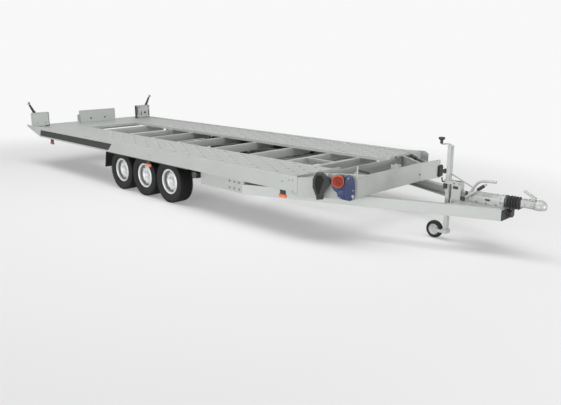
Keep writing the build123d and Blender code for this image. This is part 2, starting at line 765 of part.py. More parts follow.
# Tail plate between the runways
with BuildPart() as tail_plate:
    block(runway_rear, tail_plate_front, -runway_inner, runway_inner, deck_height - deck_sheet, deck_height)
    block(tail_plate_front - deck_sheet, tail_plate_front, -runway_inner, runway_inner,
          member_top, deck_height - deck_sheet)
hand_in(tail_plate, "tail_plate")

# Bed cross-members, the long member between the last two, the beam over the pivot, and the ribs of the decks
with BuildPart() as bed_crossmembers:
    for sign in sides.values():
        for rib in (runway_inner, rib_middle, rib_outer):
            block(runway_rear, runway_front, sign * rib, sign * (rib + deck_sheet),
                  member_top + seat_gap, deck_height - deck_sheet)
    side_slab(tail_cut, -2 * bed_half_width, 2 * bed_half_width, mode=Mode.SUBTRACT)
    for x in member_places:
        height = last_member_height if x == member_places[0] else member_height
        block(x - member_width / 2, x + member_width / 2, -member_half_length, member_half_length,
              member_top - height, member_top)
    block(member_places[-2] + member_width / 2 + seat_gap, member_places[-1] - member_width / 2 - seat_gap,
          long_member_y, long_member_y + long_member_width, member_top - long_member_height, member_top)
    block(pivot_x - member_width / 2, pivot_x + member_width / 2, -rail_inner + pin_overhang,
          rail_inner - pin_overhang, pivot_z, member_top)
    for sign in sides.values():
        block(ram_x - eye_cheek_below, member_places[3] - member_width / 2, sign * eye_cheek_inner,
              sign * (eye_cheek_inner + eye_cheek), ram_eye_z - eye_cheek_below, member_top)
    rod_along_y(ram_x, ram_eye_z, ram_pin_radius, -eye_cheek_inner - eye_cheek, eye_cheek_inner + eye_cheek)
    # Pivot tube with its pins in the ears of the side rails
    block(pivot_x - pivot_tube / 2, pivot_x + pivot_tube / 2, -rail_inner + section_wall,
          rail_inner - section_wall, pivot_z - pivot_tube / 2, pivot_z + pivot_tube / 2)
    rod_along_y(pivot_x, pivot_z, pivot_pin_radius, -rail_outer - pin_overhang, rail_outer + pin_overhang)
hand_in(bed_crossmembers, "bed_crossmembers")

# Front end plate of the bed, taller in front of the runways, where it has the strap holes
with BuildPart() as front_plate:
    block(runway_front, runway_front + front_sheet, -bed_half_width, bed_half_width,
          deck_height - front_plate_depth, deck_height)
    for sign in sides.values():
        block(runway_front, runway_front + front_sheet, sign * runway_inner, sign * bed_half_width,
              deck_height - front_sheet, plate_top)
    for y in strap_hole_places:
        with BuildSketch(Plane.YZ.offset(runway_front - front_sheet)):
            with Locations((y, plate_top - strap_hole_below_top)):
                SlotOverall(strap_hole_height, strap_hole_width, rotation=90)
        extrude(amount=3 * front_sheet, mode=Mode.SUBTRACT)
hand_in(front_plate, "front_plate")

# Front beam: slanted ends, the left one lower, and a middle that is set back. Two braces run back from the
# middle to the end plate, a cover closes the right end, and the cable pulley stands behind the middle.
beam_line = [
    (runway_front + front_sheet, bed_half_width - beam_end_inset),
    (front_beam_x, front_beam_half),
    (front_beam_x - front_beam_set_back, front_beam_middle),
]
beam_back = [(runway_front + front_sheet, bed_half_width - beam_end_inset - 1.4 * beam_sheet)]
beam_back = beam_back + [(x - beam_sheet, y) for x, y in beam_line[1:]]
beam_outline = beam_line + [(x, -y) for x, y in reversed(beam_line)]
beam_outline = beam_outline + [(x, -y) for x, y in beam_back] + list(reversed(beam_back))
brace_end_x = front_beam_x - front_beam_set_back - beam_sheet / 2
pulley_x = front_beam_x - front_beam_set_back - beam_sheet
pulley_top = beam_top + pulley_over_beam
with BuildPart() as front_beam:
    with BuildSketch(Plane.XY.offset(beam_bottom)):
        with BuildLine():
            Polyline(*beam_outline, close=True)
        make_face()
    extrude(amount=front_beam_depth)
    block(runway_front, front_beam_x, front_beam_half, bed_half_width + beam_sheet,
          deck_height - left_end_below_deck, beam_top + beam_sheet, mode=Mode.SUBTRACT)
    for sign, brace_top in ((1, beam_top), (-1, deck_height)):
        with BuildSketch(Plane.XY.offset(beam_bottom)):
            with BuildLine():
                Polyline(
                    (runway_front + front_sheet, sign * brace_start),
                    (brace_end_x, sign * front_beam_middle),
                    (brace_end_x, sign * (front_beam_middle + beam_sheet)),
                    (runway_front + front_sheet, sign * (brace_start + beam_sheet)),
                    close=True,
                )
            make_face()
        extrude(amount=brace_top - beam_bottom)
    with BuildSketch(Plane.XY.offset(deck_height - deck_sheet)):
        with BuildLine():
            Polyline(
                (runway_front + front_sheet, -brace_start),
                (brace_end_x, -front_beam_middle),
                (front_beam_x - beam_sheet / 2, -front_beam_half),
                (runway_front + front_sheet, beam_sheet - bed_half_width),
                close=True,
            )
        make_face()
    extrude(amount=deck_sheet)
    for sign in sides.values():
        block(pulley_x - pulley_length, pulley_x + beam_sheet / 2, sign * (pulley_half_width - pulley_sheet),
              sign * pulley_half_width, pulley_top - pulley_height, pulley_top)
    rod_along_y(pulley_x - pulley_length / 2, pulley_top - pulley_radius - pulley_sheet, pulley_radius,
                -pulley_half_width + pulley_sheet / 2, pulley_half_width - pulley_sheet / 2)
hand_in(front_beam, "front_beam")

# The slanted end of the front beam on the right side carries the chock and the winch
slant_start = Vector(beam_line[0][0], -beam_line[0][1], 0)
slant_end = Vector(beam_line[1][0], -beam_line[1][1], 0)
slant_direction = (slant_end - slant_start).normalized()
slant = Plane(origin=slant_start, x_dir=slant_direction, z_dir=slant_direction.cross(Vector(0, 0, 1)))


def slanted_block(s0, s1, d0, d1, z0, z1):
    # A block on the slanted plate: s along it, d out from its face
    with Locations(Location(slant) * Location(((s0 + s1) / 2, (z0 + z1) / 2, (d0 + d1) / 2))):
        Box(s1 - s0, z1 - z0, d1 - d0)


def slanted_slab(points, out, depth):
    # A slab on the slanted plate, from the (s, z) points of its outline
    with BuildSketch(slant.offset(out)) as outline:
        with BuildLine():
            Polyline(*points, close=True)
        make_face()
    extrude(outline.sketch, amount=depth)


with BuildPart() as winch_bracket:
    slanted_block(holder_start, winch_plate_start + bracket_plate, 0, bracket_plate,
                  beam_bottom + beam_end_inset, beam_bottom + holder_height)
    slanted_block(winch_plate_start, winch_plate_end, 0, bracket_plate, beam_bottom, beam_bottom + winch_plate_height)
    slanted_block(winch_plate_end - winch_post_width, winch_plate_end, 0, bracket_plate,
                  beam_bottom, beam_bottom + winch_plate_height + winch_post_height)
hand_in(winch_bracket, "winch_bracket")

# Winch housing: a tall rounded gear case, and the drum side beside it
winch_outline = [
    (0.56, 0.88), (0.69, 1.0), (0.80, 0.99), (0.91, 0.90), (0.98, 0.78), (1.0, 0.60), (1.0, 0.14), (0.94, 0.04),
    (0.77, 0.0), (0.52, 0.04), (0.33, 0.09), (0.26, 0.20), (0.24, 0.34), (0.09, 0.42), (0.02, 0.56), (0.0, 0.72),
    (0.06, 0.88), (0.20, 0.97), (0.40, 0.97),
]
winch_bottom = beam_bottom - winch_below_beam
with BuildPart() as winch:
    slanted_slab([(winch_start + s * winch_length, winch_bottom + z * winch_height) for s, z in winch_outline],
                 bracket_plate, winch_depth)
    outer_face = winch.faces().sort_by(Axis(slant.origin, slant.z_dir))[-1]
    chamfer(outer_face.edges(), winch_round)
hand_in(winch, "winch")

with BuildPart() as winch_disc:
    with BuildSketch(slant.offset(bracket_plate + winch_depth)):
        with Locations((winch_start + disc_along, winch_bottom + disc_up)):
            Circle(disc_radius)
    extrude(amount=disc_depth)
hand_in(winch_disc, "winch_disc")

chock_outline = [
    (0.0, 0.77), (0.18, 1.0), (0.52, 1.0), (0.95, 0.72), (1.0, 0.62), (0.77, 0.41), (0.54, 0.20), (0.59, 0.02),
    (0.21, 0.0), (0.20, 0.19), (0.0, 0.46),
]
with BuildPart() as wheel_chock:
    slanted_slab([(chock_start + s * chock_length, beam_bottom + beam_end_inset + z * chock_height)
                  for s, z in chock_outline], bracket_plate, chock_depth)
hand_in(wheel_chock, "wheel_chock")

# Rear lamp boxes on the lips, and the plate panel on the tail plate
lamp_outer = lamp_inner + lamp_width
lamp_bottom = deck_height + lip_height
lamp_top = lamp_bottom + lamp_height
with BuildPart() as lamp_boxes:
    for sign in sides.values():
        block(lamp_x - lamp_depth, lamp_x, sign * lamp_inner, sign * lamp_outer, lamp_bottom, lamp_top)
hand_in(lamp_boxes, "lamp_boxes")

panel_top = deck_height + panel_height
with BuildPart() as plate_panel:
    block(panel_x - panel_sheet, panel_x, panel_right, panel_right + panel_width, deck_height, panel_top)
    for y in (plate_hole_middle - plate_hole_spacing / 2, plate_hole_middle + plate_hole_spacing / 2):
        rod_along_x(y, deck_height + plate_hole_height, plate_hole_radius, panel_x - 2 * panel_sheet,
                    panel_x + panel_sheet, mode=Mode.SUBTRACT)
hand_in(plate_panel, "plate_panel")

# Marker lamps on leaning stalks
with BuildPart() as marker_stalks:
    for sign in sides.values():
        foot = Vector(lamp_x - lamp_depth / 2, sign * (lamp_outer - stalk_inset), lamp_top)
        head = Vector(lamp_x - lamp_depth / 2, sign * (lamp_outer - stalk_inset + stalk_lean), lamp_top + stalk_rise)
        with Locations(Location(Plane(origin=(foot + head) * 0.5, z_dir=head - foot))):
            Cone(stalk_foot_radius, stalk_radius, (head - foot).length + 2 * stalk_sink)
        rod_along_x(head.Y, head.Z, marker_radius, head.X - marker_depth / 2, head.X + marker_depth / 2)
    block(lamp_x - lamp_depth, lamp_x, -2 * lamp_outer, 2 * lamp_outer, lamp_bottom, lamp_top, mode=Mode.SUBTRACT)
hand_in(marker_stalks, "marker_stalks")

# Side lamps hung under the skirts
hung_face = bed_half_width + deck_sheet + seat_gap
with BuildPart() as side_lamps:
    for sign in sides.values():
        for x in (side_lamp_rear, side_lamp_middle, side_lamp_front):
            block(x - side_lamp_length / 2, x + side_lamp_length / 2, sign * (hung_face - side_lamp_depth),
                  sign * hung_face, skirt_bottom - side_lamp_height, skirt_bottom)
hand_in(side_lamps, "side_lamps")
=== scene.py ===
import math

import bmesh
import bpy
from mathutils import Matrix, Vector


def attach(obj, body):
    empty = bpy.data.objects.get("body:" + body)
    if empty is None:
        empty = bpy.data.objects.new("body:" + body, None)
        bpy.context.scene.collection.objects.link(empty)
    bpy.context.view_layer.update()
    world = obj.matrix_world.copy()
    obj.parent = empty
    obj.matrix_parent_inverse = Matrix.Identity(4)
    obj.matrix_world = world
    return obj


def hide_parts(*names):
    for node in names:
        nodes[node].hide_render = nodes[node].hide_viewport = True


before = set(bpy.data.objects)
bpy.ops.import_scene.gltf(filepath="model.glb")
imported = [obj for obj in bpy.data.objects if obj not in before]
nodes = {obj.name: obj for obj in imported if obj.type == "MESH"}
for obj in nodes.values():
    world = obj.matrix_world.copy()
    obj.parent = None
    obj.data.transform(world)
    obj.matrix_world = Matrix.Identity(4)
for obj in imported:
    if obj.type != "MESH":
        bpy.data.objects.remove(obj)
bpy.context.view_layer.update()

# Places along X are written from the middle axle, this far behind the frame's origin
origin_x = 0.686

# Camera, at the photograph's place and angle. The image is 561 by 405 pixels.
image_width = 561
focal_pixels = 615.24
camera_place = Vector((6.8631 - origin_x, -5.3763, 1.8606))
camera_yaw = math.radians(45.074)
camera_pitch = math.radians(13.898)
camera_roll = math.radians(0.065)

forward = Vector((
    -math.sin(camera_yaw) * math.cos(camera_pitch),
    math.cos(camera_yaw) * math.cos(camera_pitch),
    -math.sin(camera_pitch),
))
right = Vector((math.cos(camera_yaw), math.sin(camera_yaw), 0.0))
up = right.cross(forward)
turn = Matrix.Rotation(camera_roll, 4, forward)
right = turn @ right
up = turn @ up
camera_data = bpy.data.cameras.new("camera")
camera_data.sensor_width = 36.0
camera_data.lens = 36.0 * focal_pixels / image_width
camera_data.clip_end = 200.0
camera = bpy.data.objects.new("camera", camera_data)
bpy.context.scene.collection.objects.link(camera)
pose = Matrix((right, up, -forward)).transposed().to_4x4()
pose.translation = camera_place
camera.matrix_world = pose
bpy.context.scene.camera = camera
bpy.context.scene.view_settings.view_transform = "Standard"


# Materials

def new_material(name, colour, rough, metal=0.0):
    material = bpy.data.materials.new(name)
    material.use_nodes = True
    shader = material.node_tree.nodes["Principled BSDF"]
    shader.inputs["Base Color"].default_value = (*colour, 1.0)
    shader.inputs["Roughness"].default_value = rough
    shader.inputs["Metallic"].default_value = metal
    return material, shader


def add_node(material, kind, **values):
    node = material.node_tree.nodes.new(kind)
    for key, value in values.items():
        node.inputs[key].default_value = value
    return node


def place_texture(material, texture):
    source = material.node_tree.nodes.new("ShaderNodeTexCoord")
    material.node_tree.links.new(source.outputs["Object"], texture.inputs["Vector"])


def vary_colour(material, shader, texture_output, low, high):
    ramp = material.node_tree.nodes.new("ShaderNodeValToRGB")
    ramp.color_ramp.elements[0].position = 0.3
    ramp.color_ramp.elements[0].color = (*low, 1.0)
    ramp.color_ramp.elements[1].position = 0.7
    ramp.color_ramp.elements[1].color = (*high, 1.0)
    links = material.node_tree.links
    links.new(texture_output, ramp.inputs["Fac"])
    links.new(ramp.outputs["Color"], shader.inputs["Base Color"])


def vary_rough(material, shader, texture_output, low, high):
    span = add_node(material, "ShaderNodeMapRange")
    span.inputs["To Min"].default_value = low
    span.inputs["To Max"].default_value = high
    links = material.node_tree.links
    links.new(texture_output, span.inputs["Value"])
    links.new(span.outputs["Result"], shader.inputs["Roughness"])


def add_bump(material, shader, height_output, strength, distance):
    bump = add_node(material, "ShaderNodeBump", Strength=strength, Distance=distance)
    links = material.node_tree.links
    links.new(height_output, bump.inputs["Height"])
    links.new(bump.outputs["Normal"], shader.inputs["Normal"])


def tint(colour, share):
    return tuple(min(1.0, value * share) for value in colour)


def galvanised_steel(name, colour, grain=55.0, metal=0.35):
    # Zinc-coated sheet: faint cloudy spangle, with softer and glossier patches
    material, shader = new_material(name, colour, 0.5, metal)
    spangle = add_node(material, "ShaderNodeTexVoronoi", Scale=grain, Randomness=1.0)
    place_texture(material, spangle)
    cloud = add_node(material, "ShaderNodeTexNoise", Scale=3.2, Detail=4.0, Roughness=0.55)
    place_texture(material, cloud)
    links = material.node_tree.links
    grey = material.node_tree.nodes.new("ShaderNodeRGBToBW")
    links.new(spangle.outputs["Color"], grey.inputs["Color"])
    blend = material.node_tree.nodes.new("ShaderNodeMath")
    blend.operation = "MULTIPLY_ADD"
    blend.inputs[1].default_value = 0.3
    links.new(grey.outputs["Val"], blend.inputs[0])
    links.new(cloud.outputs["Fac"], blend.inputs[2])
    vary_colour(material, shader, blend.outputs["Value"], tint(colour, 0.95), tint(colour, 1.05))
    vary_rough(material, shader, blend.outputs["Value"], 0.42, 0.58)
    add_bump(material, shader, spangle.outputs["Distance"], 0.06, 0.0004)
    return material


def moulded_plastic(name, colour, rough=0.55, grain=900.0):
    # Moulded plastic or paint: a fine leathery grain
    material, shader = new_material(name, colour, rough)
    grain_node = add_node(material, "ShaderNodeTexNoise", Scale=grain, Detail=2.0)
    place_texture(material, grain_node)
    cloud = add_node(material, "ShaderNodeTexNoise", Scale=9.0, Detail=3.0)
    place_texture(material, cloud)
    vary_colour(material, shader, cloud.outputs["Fac"], tint(colour, 0.85), tint(colour, 1.2))
    vary_rough(material, shader, cloud.outputs["Fac"], rough - 0.08, rough + 0.1)
    add_bump(material, shader, grain_node.outputs["Fac"], 0.25, 0.0003)
    return material


def tyre_rubber(name):
    # Dull rubber with fine ribs round the side wall
    colour = (0.010, 0.010, 0.011)
    material, shader = new_material(name, colour, 0.72)
    shader.inputs["Specular IOR Level"].default_value = 0.3
    cloud = add_node(material, "ShaderNodeTexNoise", Scale=14.0, Detail=5.0)
    place_texture(material, cloud)
    grain_node = add_node(material, "ShaderNodeTexNoise", Scale=700.0, Detail=2.0)
    place_texture(material, grain_node)
    vary_colour(material, shader, cloud.outputs["Fac"], tint(colour, 0.8), tint(colour, 1.35))
    vary_rough(material, shader, cloud.outputs["Fac"], 0.62, 0.82)
    add_bump(material, shader, grain_node.outputs["Fac"], 0.3, 0.0004)
    return material


def lamp_lens(name, colour):
    # Coloured lens with its moulded optic pattern
    material, shader = new_material(name, colour, 0.18)
    shader.inputs["Transmission Weight"].default_value = 0.15
    shader.inputs["Coat Weight"].default_value = 0.6
    optic = add_node(material, "ShaderNodeTexVoronoi", Scale=220.0, Randomness=0.0)
    place_texture(material, optic)
    cloud = add_node(material, "ShaderNodeTexNoise", Scale=40.0)
    place_texture(material, cloud)
    vary_colour(material, shader, cloud.outputs["Fac"], tint(colour, 0.85), tint(colour, 1.15))
    add_bump(material, shader, optic.outputs["Distance"], 0.3, 0.0008)
    return material


steel_colour = (0.40, 0.415, 0.40)
galvanised = galvanised_steel("galvanised_sheet", steel_colour)
# A darker copy of the galvanised sheet: painted shade, used on the axles underneath and on bolts, rods and
# small parts
galvanised_shade = galvanised_steel("galvanised_painted_shade", (0.30, 0.31, 0.30))
galvanised_bright = galvanised_steel("zinc_plated", (0.38, 0.39, 0.38), 30.0, 0.45)
rim_silver = galvanised_steel("rim_paint", (0.60, 0.61, 0.61), 400.0, 0.45)
rim_shade = moulded_plastic("rim_shade", (0.13, 0.13, 0.13), 0.6)
black_plastic = moulded_plastic("black_plastic", (0.018, 0.018, 0.019))
black_rubber = moulded_plastic("black_rubber", (0.02, 0.02, 0.02), 0.7)
dark_band = moulded_plastic("dark_band", (0.024, 0.024, 0.024), 0.75)
winch_blue = moulded_plastic("winch_paint", (0.019, 0.029, 0.092), 0.4, 300.0)
winch_red = moulded_plastic("winch_strap", (0.26, 0.026, 0.008), 0.6, 500.0)
tyre_black = tyre_rubber("tyre_rubber")
lens_red = lamp_lens("lens_red", (0.45, 0.02, 0.015))
lens_amber = lamp_lens("lens_amber", (0.80, 0.20, 0.06))
lens_white = lamp_lens("lens_white", (0.75, 0.75, 0.75))
marker_grey = lamp_lens("lens_grey", (0.20, 0.20, 0.21))
chrome_rod, chrome_shader = new_material("ram_chrome", (0.7, 0.7, 0.72), 0.15, 1.0)
chrome_noise = add_node(chrome_rod, "ShaderNodeTexNoise", Scale=60.0)
place_texture(chrome_rod, chrome_noise)
vary_rough(chrome_rod, chrome_shader, chrome_noise.outputs["Fac"], 0.1, 0.22)


# Mesh helpers. Sizes are in metres.

def mesh_from(name, build):
    work = bmesh.new()
    build(work)
    mesh = bpy.data.meshes.new(name)
    bmesh.ops.translate(work, vec=(-origin_x, 0.0, 0.0), verts=work.verts)
    bmesh.ops.recalc_face_normals(work, faces=work.faces)
    work.to_mesh(mesh)
    work.free()
    return mesh


def make(name, build, material, body, replaced=(), angle=35.0):
    # Edges sharper than the angle stay sharp, and without an angle the piece stays flat shaded
    piece = bpy.data.objects.new(name, mesh_from(name, build))
    bpy.context.scene.collection.objects.link(piece)
    piece.data.materials.append(material)
    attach(piece, body)
    if angle:
        piece.data.shade_smooth()
        piece.data.set_sharp_from_angle(angle=math.radians(angle))
    if replaced:
        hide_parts(*replaced)


def turned(place, degrees, axis):
    return Matrix.Translation(place) @ Matrix.Rotation(math.radians(degrees), 4, axis)


def aimed(place, direction):
    # Its Z axis points along the direction
    return Matrix.Translation(place) @ direction.to_track_quat("Z", "Y").to_matrix().to_4x4()


def around(count, start=0.0):
    # Cosine and sine of angles spread evenly round a circle
    for step in range(count):
        angle = 2 * math.pi * (step + start) / count
        yield math.cos(angle), math.sin(angle)


def add_box(work, low, high):
    middle = (Vector(low) + Vector(high)) / 2
    size = Vector(high) - Vector(low)
    matrix = Matrix.Translation(middle) @ Matrix.Diagonal((*size, 1.0))
    bmesh.ops.create_cube(work, size=1.0, matrix=matrix)


def add_soft_box(work, low, high, radius):
    made = bmesh.new()
    add_box(made, low, high)
    bmesh.ops.bevel(made, geom=list(made.edges), offset=radius, segments=2, affect="EDGES")
    copy_into(work, made)


def add_pair(work, low, high, radius):
    # A rounded box on the left, and the same one mirrored to the right
    for sign in (-1, 1):
        near, far = sorted((sign * low[1], sign * high[1]))
        add_soft_box(work, (low[0], near, low[2]), (high[0], far, high[2]), radius)


def copy_into(work, made):
    places = {}
    for vertex in made.verts:
        places[vertex] = work.verts.new(vertex.co)
    for face in made.faces:
        work.faces.new([places[vertex] for vertex in face.verts])
    made.free()


def join_rings(work, rings):
    count = len(rings[0])
    for first, second in zip(rings, rings[1:]):
        for step in range(count):
            after = (step + 1) % count
            work.faces.new((first[step], first[after], second[after], second[step]))


def add_rod(work, start, end, radius, segments=16, end_radius=None):
    start = Vector(start)
    end = Vector(end)
    bmesh.ops.create_cone(
        work, cap_ends=True, segments=segments, radius1=radius, depth=(end - start).length,
        radius2=radius if end_radius is None else end_radius, matrix=aimed((start + end) / 2, end - start),
    )


def add_lathe(work, profile, matrix, segments=48):
    # Turns a list of (radius, height) round the Z axis of the matrix
    rings = []
    for radius, height in profile:
        rings.append([work.verts.new(matrix @ Vector((radius * cosine, radius * sine, height)))
                      for cosine, sine in around(segments)])
    join_rings(work, rings)


def add_bolt(work, place, normal, radius, height):
    # A hexagon head on its washer
    place = Vector(place)
    normal = Vector(normal).normalized()
    add_rod(work, place, place + normal * height * 0.25, radius * 1.35, 16)
    add_rod(work, place + normal * height * 0.25, place + normal * height, radius, 6)


def add_tube_path(work, points, radius, segments=10):
    points = [Vector(point) for point in points]
    rings = []
    for index, point in enumerate(points):
        before = points[max(index - 1, 0)]
        after = points[min(index + 1, len(points) - 1)]
        ring_turn = (after - before).normalized().to_track_quat("Z", "Y").to_matrix()
        rings.append([work.verts.new(point + ring_turn @ Vector((radius * cosine, radius * sine, 0.0)))
                      for cosine, sine in around(segments)])
    join_rings(work, rings)
    work.faces.new(list(reversed(rings[0])))
    work.faces.new(rings[-1])


def add_prism(work, inner, outer):
    # Closes two outlines of like points into a solid, and gives back its outer face
    work.faces.new(inner)
    top = work.faces.new(outer)
    for index in range(len(inner)):
        after = (index + 1) % len(inner)
        work.faces.new((inner[index], inner[after], outer[after], outer[index]))
    return top


# Materials of the CAD nodes
node_materials = {
    "side_skirts": galvanised, "side_rails": galvanised, "a_frame": galvanised,
    "chassis_crossmembers": galvanised, "axles": galvanised_shade,
    "mudguards": black_plastic, "overrun_unit": galvanised_bright, "bellows": black_rubber,
    "coupling_head": galvanised_bright, "coupling_handle": galvanised_bright, "plug_holder": black_plastic,
    "handbrake_lever": galvanised_bright, "gas_strut": galvanised_bright, "brake_rod": galvanised_bright,
    "jockey_tube": galvanised, "runways": galvanised, "tail_plate": galvanised,
    "bed_crossmembers": galvanised, "front_plate": galvanised, "front_beam": galvanised,
    "winch_bracket": galvanised, "winch": winch_blue, "winch_disc": winch_red, "wheel_chock": black_plastic,
    "lamp_boxes": galvanised, "plate_panel": galvanised, "marker_stalks": black_rubber,
    "side_lamps": black_plastic, "jockey_leg": galvanised_bright,
    "jockey_fork": galvanised_bright, "jockey_wheel": black_rubber, "ram_barrel": black_plastic,
    "ram_rod": chrome_rod,
}
for row in ("front", "middle", "rear"):
    for side in ("left", "right"):
        node_materials[f"tyre_{row}_{side}"] = tyre_black
        node_materials[f"rim_{row}_{side}"] = rim_silver
for name, material in node_materials.items():
    slots = nodes[name].material_slots
    for slot in slots:
        slot.material = material
    if not slots:
        nodes[name].data.materials.append(material)

# Wheels: tyre with tread grooves and a dished steel rim with its bolts
tyre_radius = 0.2695
wheel_line = 0.9675
rim_seat = 0.155
lug_count = 72


def tyre_profile():
    points = [(rim_seat, -0.072), (rim_seat + 0.012, -0.083), (rim_seat + 0.035, -0.094), (0.222, -0.0975),
              (0.245, -0.094), (0.258, -0.086), (0.2655, -0.074)]
    for groove in (-0.048, -0.016, 0.016, 0.048):
        points.append((0.2690, groove - 0.0045))
        points.append((0.2625, groove - 0.003))
        points.append((0.2625, groove + 0.003))
        points.append((0.2690, groove + 0.0045))
    points += [(radius, -height) for radius, height in reversed(points[:7])]
    return points


def build_tyre(work, place, sign):
    add_lathe(work, tyre_profile(), turned(place, -90, "X"), 96)
    # Shoulder blocks of the tread
    for step in range(lug_count):
        turn_block = Matrix.Rotation(2 * math.pi * step / lug_count, 4, "Y")
        for edge in (-1, 1):
            made = bmesh.new()
            add_box(made, (-0.0085, edge * 0.076 - 0.013, 0.2615), (0.0085, edge * 0.076 + 0.013, 0.2672))
            bmesh.ops.transform(made, matrix=Matrix.Translation(place) @ turn_block, verts=made.verts)
            copy_into(work, made)


rim_profile = [
    (0.1535, -0.075), (0.1570, -0.0750), (0.1580, -0.0720), (0.1500, -0.0640), (0.1420, -0.0480),
    (0.1400, 0.0250), (0.1420, 0.0480), (0.1380, 0.0620), (0.1390, 0.0720), (0.1500, 0.0785),
    (0.1580, 0.0765), (0.1575, 0.0700), (0.1460, 0.0640), (0.1380, 0.0600), (0.1340, 0.0480),
    (0.1320, 0.0400), (0.1270, 0.0320), (0.1180, 0.0300), (0.1080, 0.0340), (0.0960, 0.0450),
    (0.0880, 0.0480), (0.0760, 0.0460), (0.0660, 0.0360), (0.0560, 0.0290), (0.0380, 0.0290),
    (0.0370, 0.0420), (0.0330, 0.0520), (0.0200, 0.0550), (0.0010, 0.0560),
]


def build_rim(work, place, sign):
    matrix = turned(place, -90 * sign, "X")
    add_lathe(work, rim_profile, matrix, 64)
    for cosine, sine in around(5):
        spot = matrix @ Vector((0.056 * cosine, 0.056 * sine, 0.0305))
        add_bolt(work, spot, matrix.to_3x3() @ Vector((0, 0, 1)), 0.0095, 0.016)


def build_rim_hole_shade(work, place, sign):
    # Black discs between the crown and the outer ring of the disc: painted shade of its vent slots
    matrix = turned(place, -90 * sign, "X")
    for cosine, sine in around(10, 0.5):
        spot = Vector((0.111 * cosine, 0.111 * sine, 0.0325))
        add_rod(work, matrix @ spot, matrix @ (spot + Vector((0, 0, 0.0012))), 0.0105, 14)


def build_rim_well(work, place, sign):
    # Shaded well between the outer ring and the disc
    profile = [(0.1345, 0.0560), (0.1335, 0.0480), (0.1315, 0.0402), (0.1268, 0.0328), (0.1215, 0.0310)]
    add_lathe(work, profile, turned(place, -90 * sign, "X"), 64)


axle_places = {"front": 0.555, "middle": 0.0, "rear": -0.555}
side_signs = {"left": 1, "right": -1}
# Name, builder, material, slot, replaced node and shading angle
wheel_pieces = [
    ("tyre_tread", build_tyre, tyre_black, "tyre", "tyre", 40.0),
    ("steel_rim", build_rim, rim_silver, "rim", "rim", 40.0),
    # The rim holes are black discs of painted shade
    ("rim_holes", build_rim_hole_shade, black_plastic, "black_plastic", None, None),
    ("rim_well", build_rim_well, rim_shade, "black_plastic", None, 40.0),
]
for row, place_x in axle_places.items():
    for side, sign in side_signs.items():
        middle = Vector((place_x, sign * wheel_line, tyre_radius))
        for name, builder, material, slot, node, angle in wheel_pieces:
            replaced = (f"{node}_{row}_{side}",) if node else ()
            make(f"{name}_{row}_{side}", lambda work: builder(work, middle, sign), material,
                 f"wheel_{row}_{side}", replaced, angle)

# Sizes shared with the model, in metres
deck_top = 0.641
lip_top = 0.656
skirt_face = 1.100
skirt_foot = 0.498
plate_front = 2.808
lamp_face = -3.150
lamp_depth = 0.045
lamp_inner = 0.840
lamp_outer = 1.120
lamp_top = 0.870
panel_face = -3.190
beam_top = 0.656
beam_foot = 0.455
coupling_height = 0.505

# Raised dimples of the decks, in staggered rows, each with a black disc in its middle as the painted shade of
# its hole
dimple_columns = 6
column_spacing = 0.085
row_spacing = 0.300
first_column = 0.640


def dimple_places():
    for sign in (-1, 1):
        for column in range(-2, dimple_columns):
            across = first_column + column_spacing * column
            start = -1.766 + 3.2 * (across - 0.682)
            for row_number in range(-12, 12):
                along = row_spacing * row_number + row_spacing / 2 * column
                if start <= along <= 2.74 and across < 1.08:
                    yield along, sign * across


def build_dimples(work):
    ring = [(0.0260, -0.0002), (0.0235, 0.0030), (0.0205, 0.0065), (0.0180, 0.0076), (0.0160, 0.0070),
            (0.0157, 0.0004)]
    for along, across in dimple_places():
        add_lathe(work, ring, Matrix.Translation((along, across, deck_top)), 16)


# Black discs inside the dimples: painted shade of the holes
def build_dimple_hole_shade(work):
    for along, across in dimple_places():
        add_lathe(work, [(0.0159, 0.0056), (0.0040, 0.0053), (0.0002, 0.0053)],
                  Matrix.Translation((along, across, deck_top)), 12)


make("deck_dimples", build_dimples, galvanised, "bed")
make("deck_dimple_hole_shade", build_dimple_hole_shade, black_plastic, "bed")


# Dark band of the rear skirts, with slanted ends
def build_bands(work):
    outline = [(-2.947, 0.526), (-2.938, 0.521), (-0.808, 0.520), (-0.800, 0.525),
               (-0.706, 0.612), (-0.712, 0.617), (-2.905, 0.612), (-2.911, 0.608)]
    for sign in (-1, 1):
        inner = [work.verts.new((x, sign * (skirt_face - 0.001), z)) for x, z in outline]
        outer = [work.verts.new((x, sign * (skirt_face + 0.0012), z)) for x, z in outline]
        add_prism(work, inner, outer)


make("skirt_bands", build_bands, dark_band, "bed", angle=20.0)


# Folded returns along the skirts and the end plate, where the sheet turns in
def build_folds(work):
    for sign in (-1, 1):
        for rear, across, height, radius in (
            (-3.42, 1.0945, lip_top - 0.002, 0.0055), (-2.93, 1.0975, skirt_foot + 0.002, 0.003),
            (-3.415, 0.4525, deck_top - 0.001, 0.003),
        ):
            add_tube_path(work, [(rear, sign * across, height), (2.80, sign * across, height)], radius, 8)
        corner = (2.805, sign * 0.453)
        add_tube_path(work, [(*corner, 0.669), (2.805, sign * 1.098, 0.669)], 0.0035, 8)
        add_tube_path(work, [(*corner, 0.668), (*corner, 0.642)], 0.0035, 8)


def add_flange(work, points, width, low, high):
    # A flat flange along a line of (x, y) places, its width to the left of the line
    spots = [Vector((x, y, 0.0)) for x, y in points]
    rings = []
    for index, spot in enumerate(spots):
        before = spots[max(index - 1, 0)]
        after = spots[min(index + 1, len(spots) - 1)]
        along = (after - before).normalized()
        inner = spot + Vector((-along.y, along.x, 0.0)) * width
        rings.append([work.verts.new((place.x, place.y, height))
                      for place, height in ((spot, low), (inner, low), (inner, high), (spot, high))])
    join_rings(work, rings)
    work.faces.new(rings[0])
    work.faces.new(list(reversed(rings[-1])))


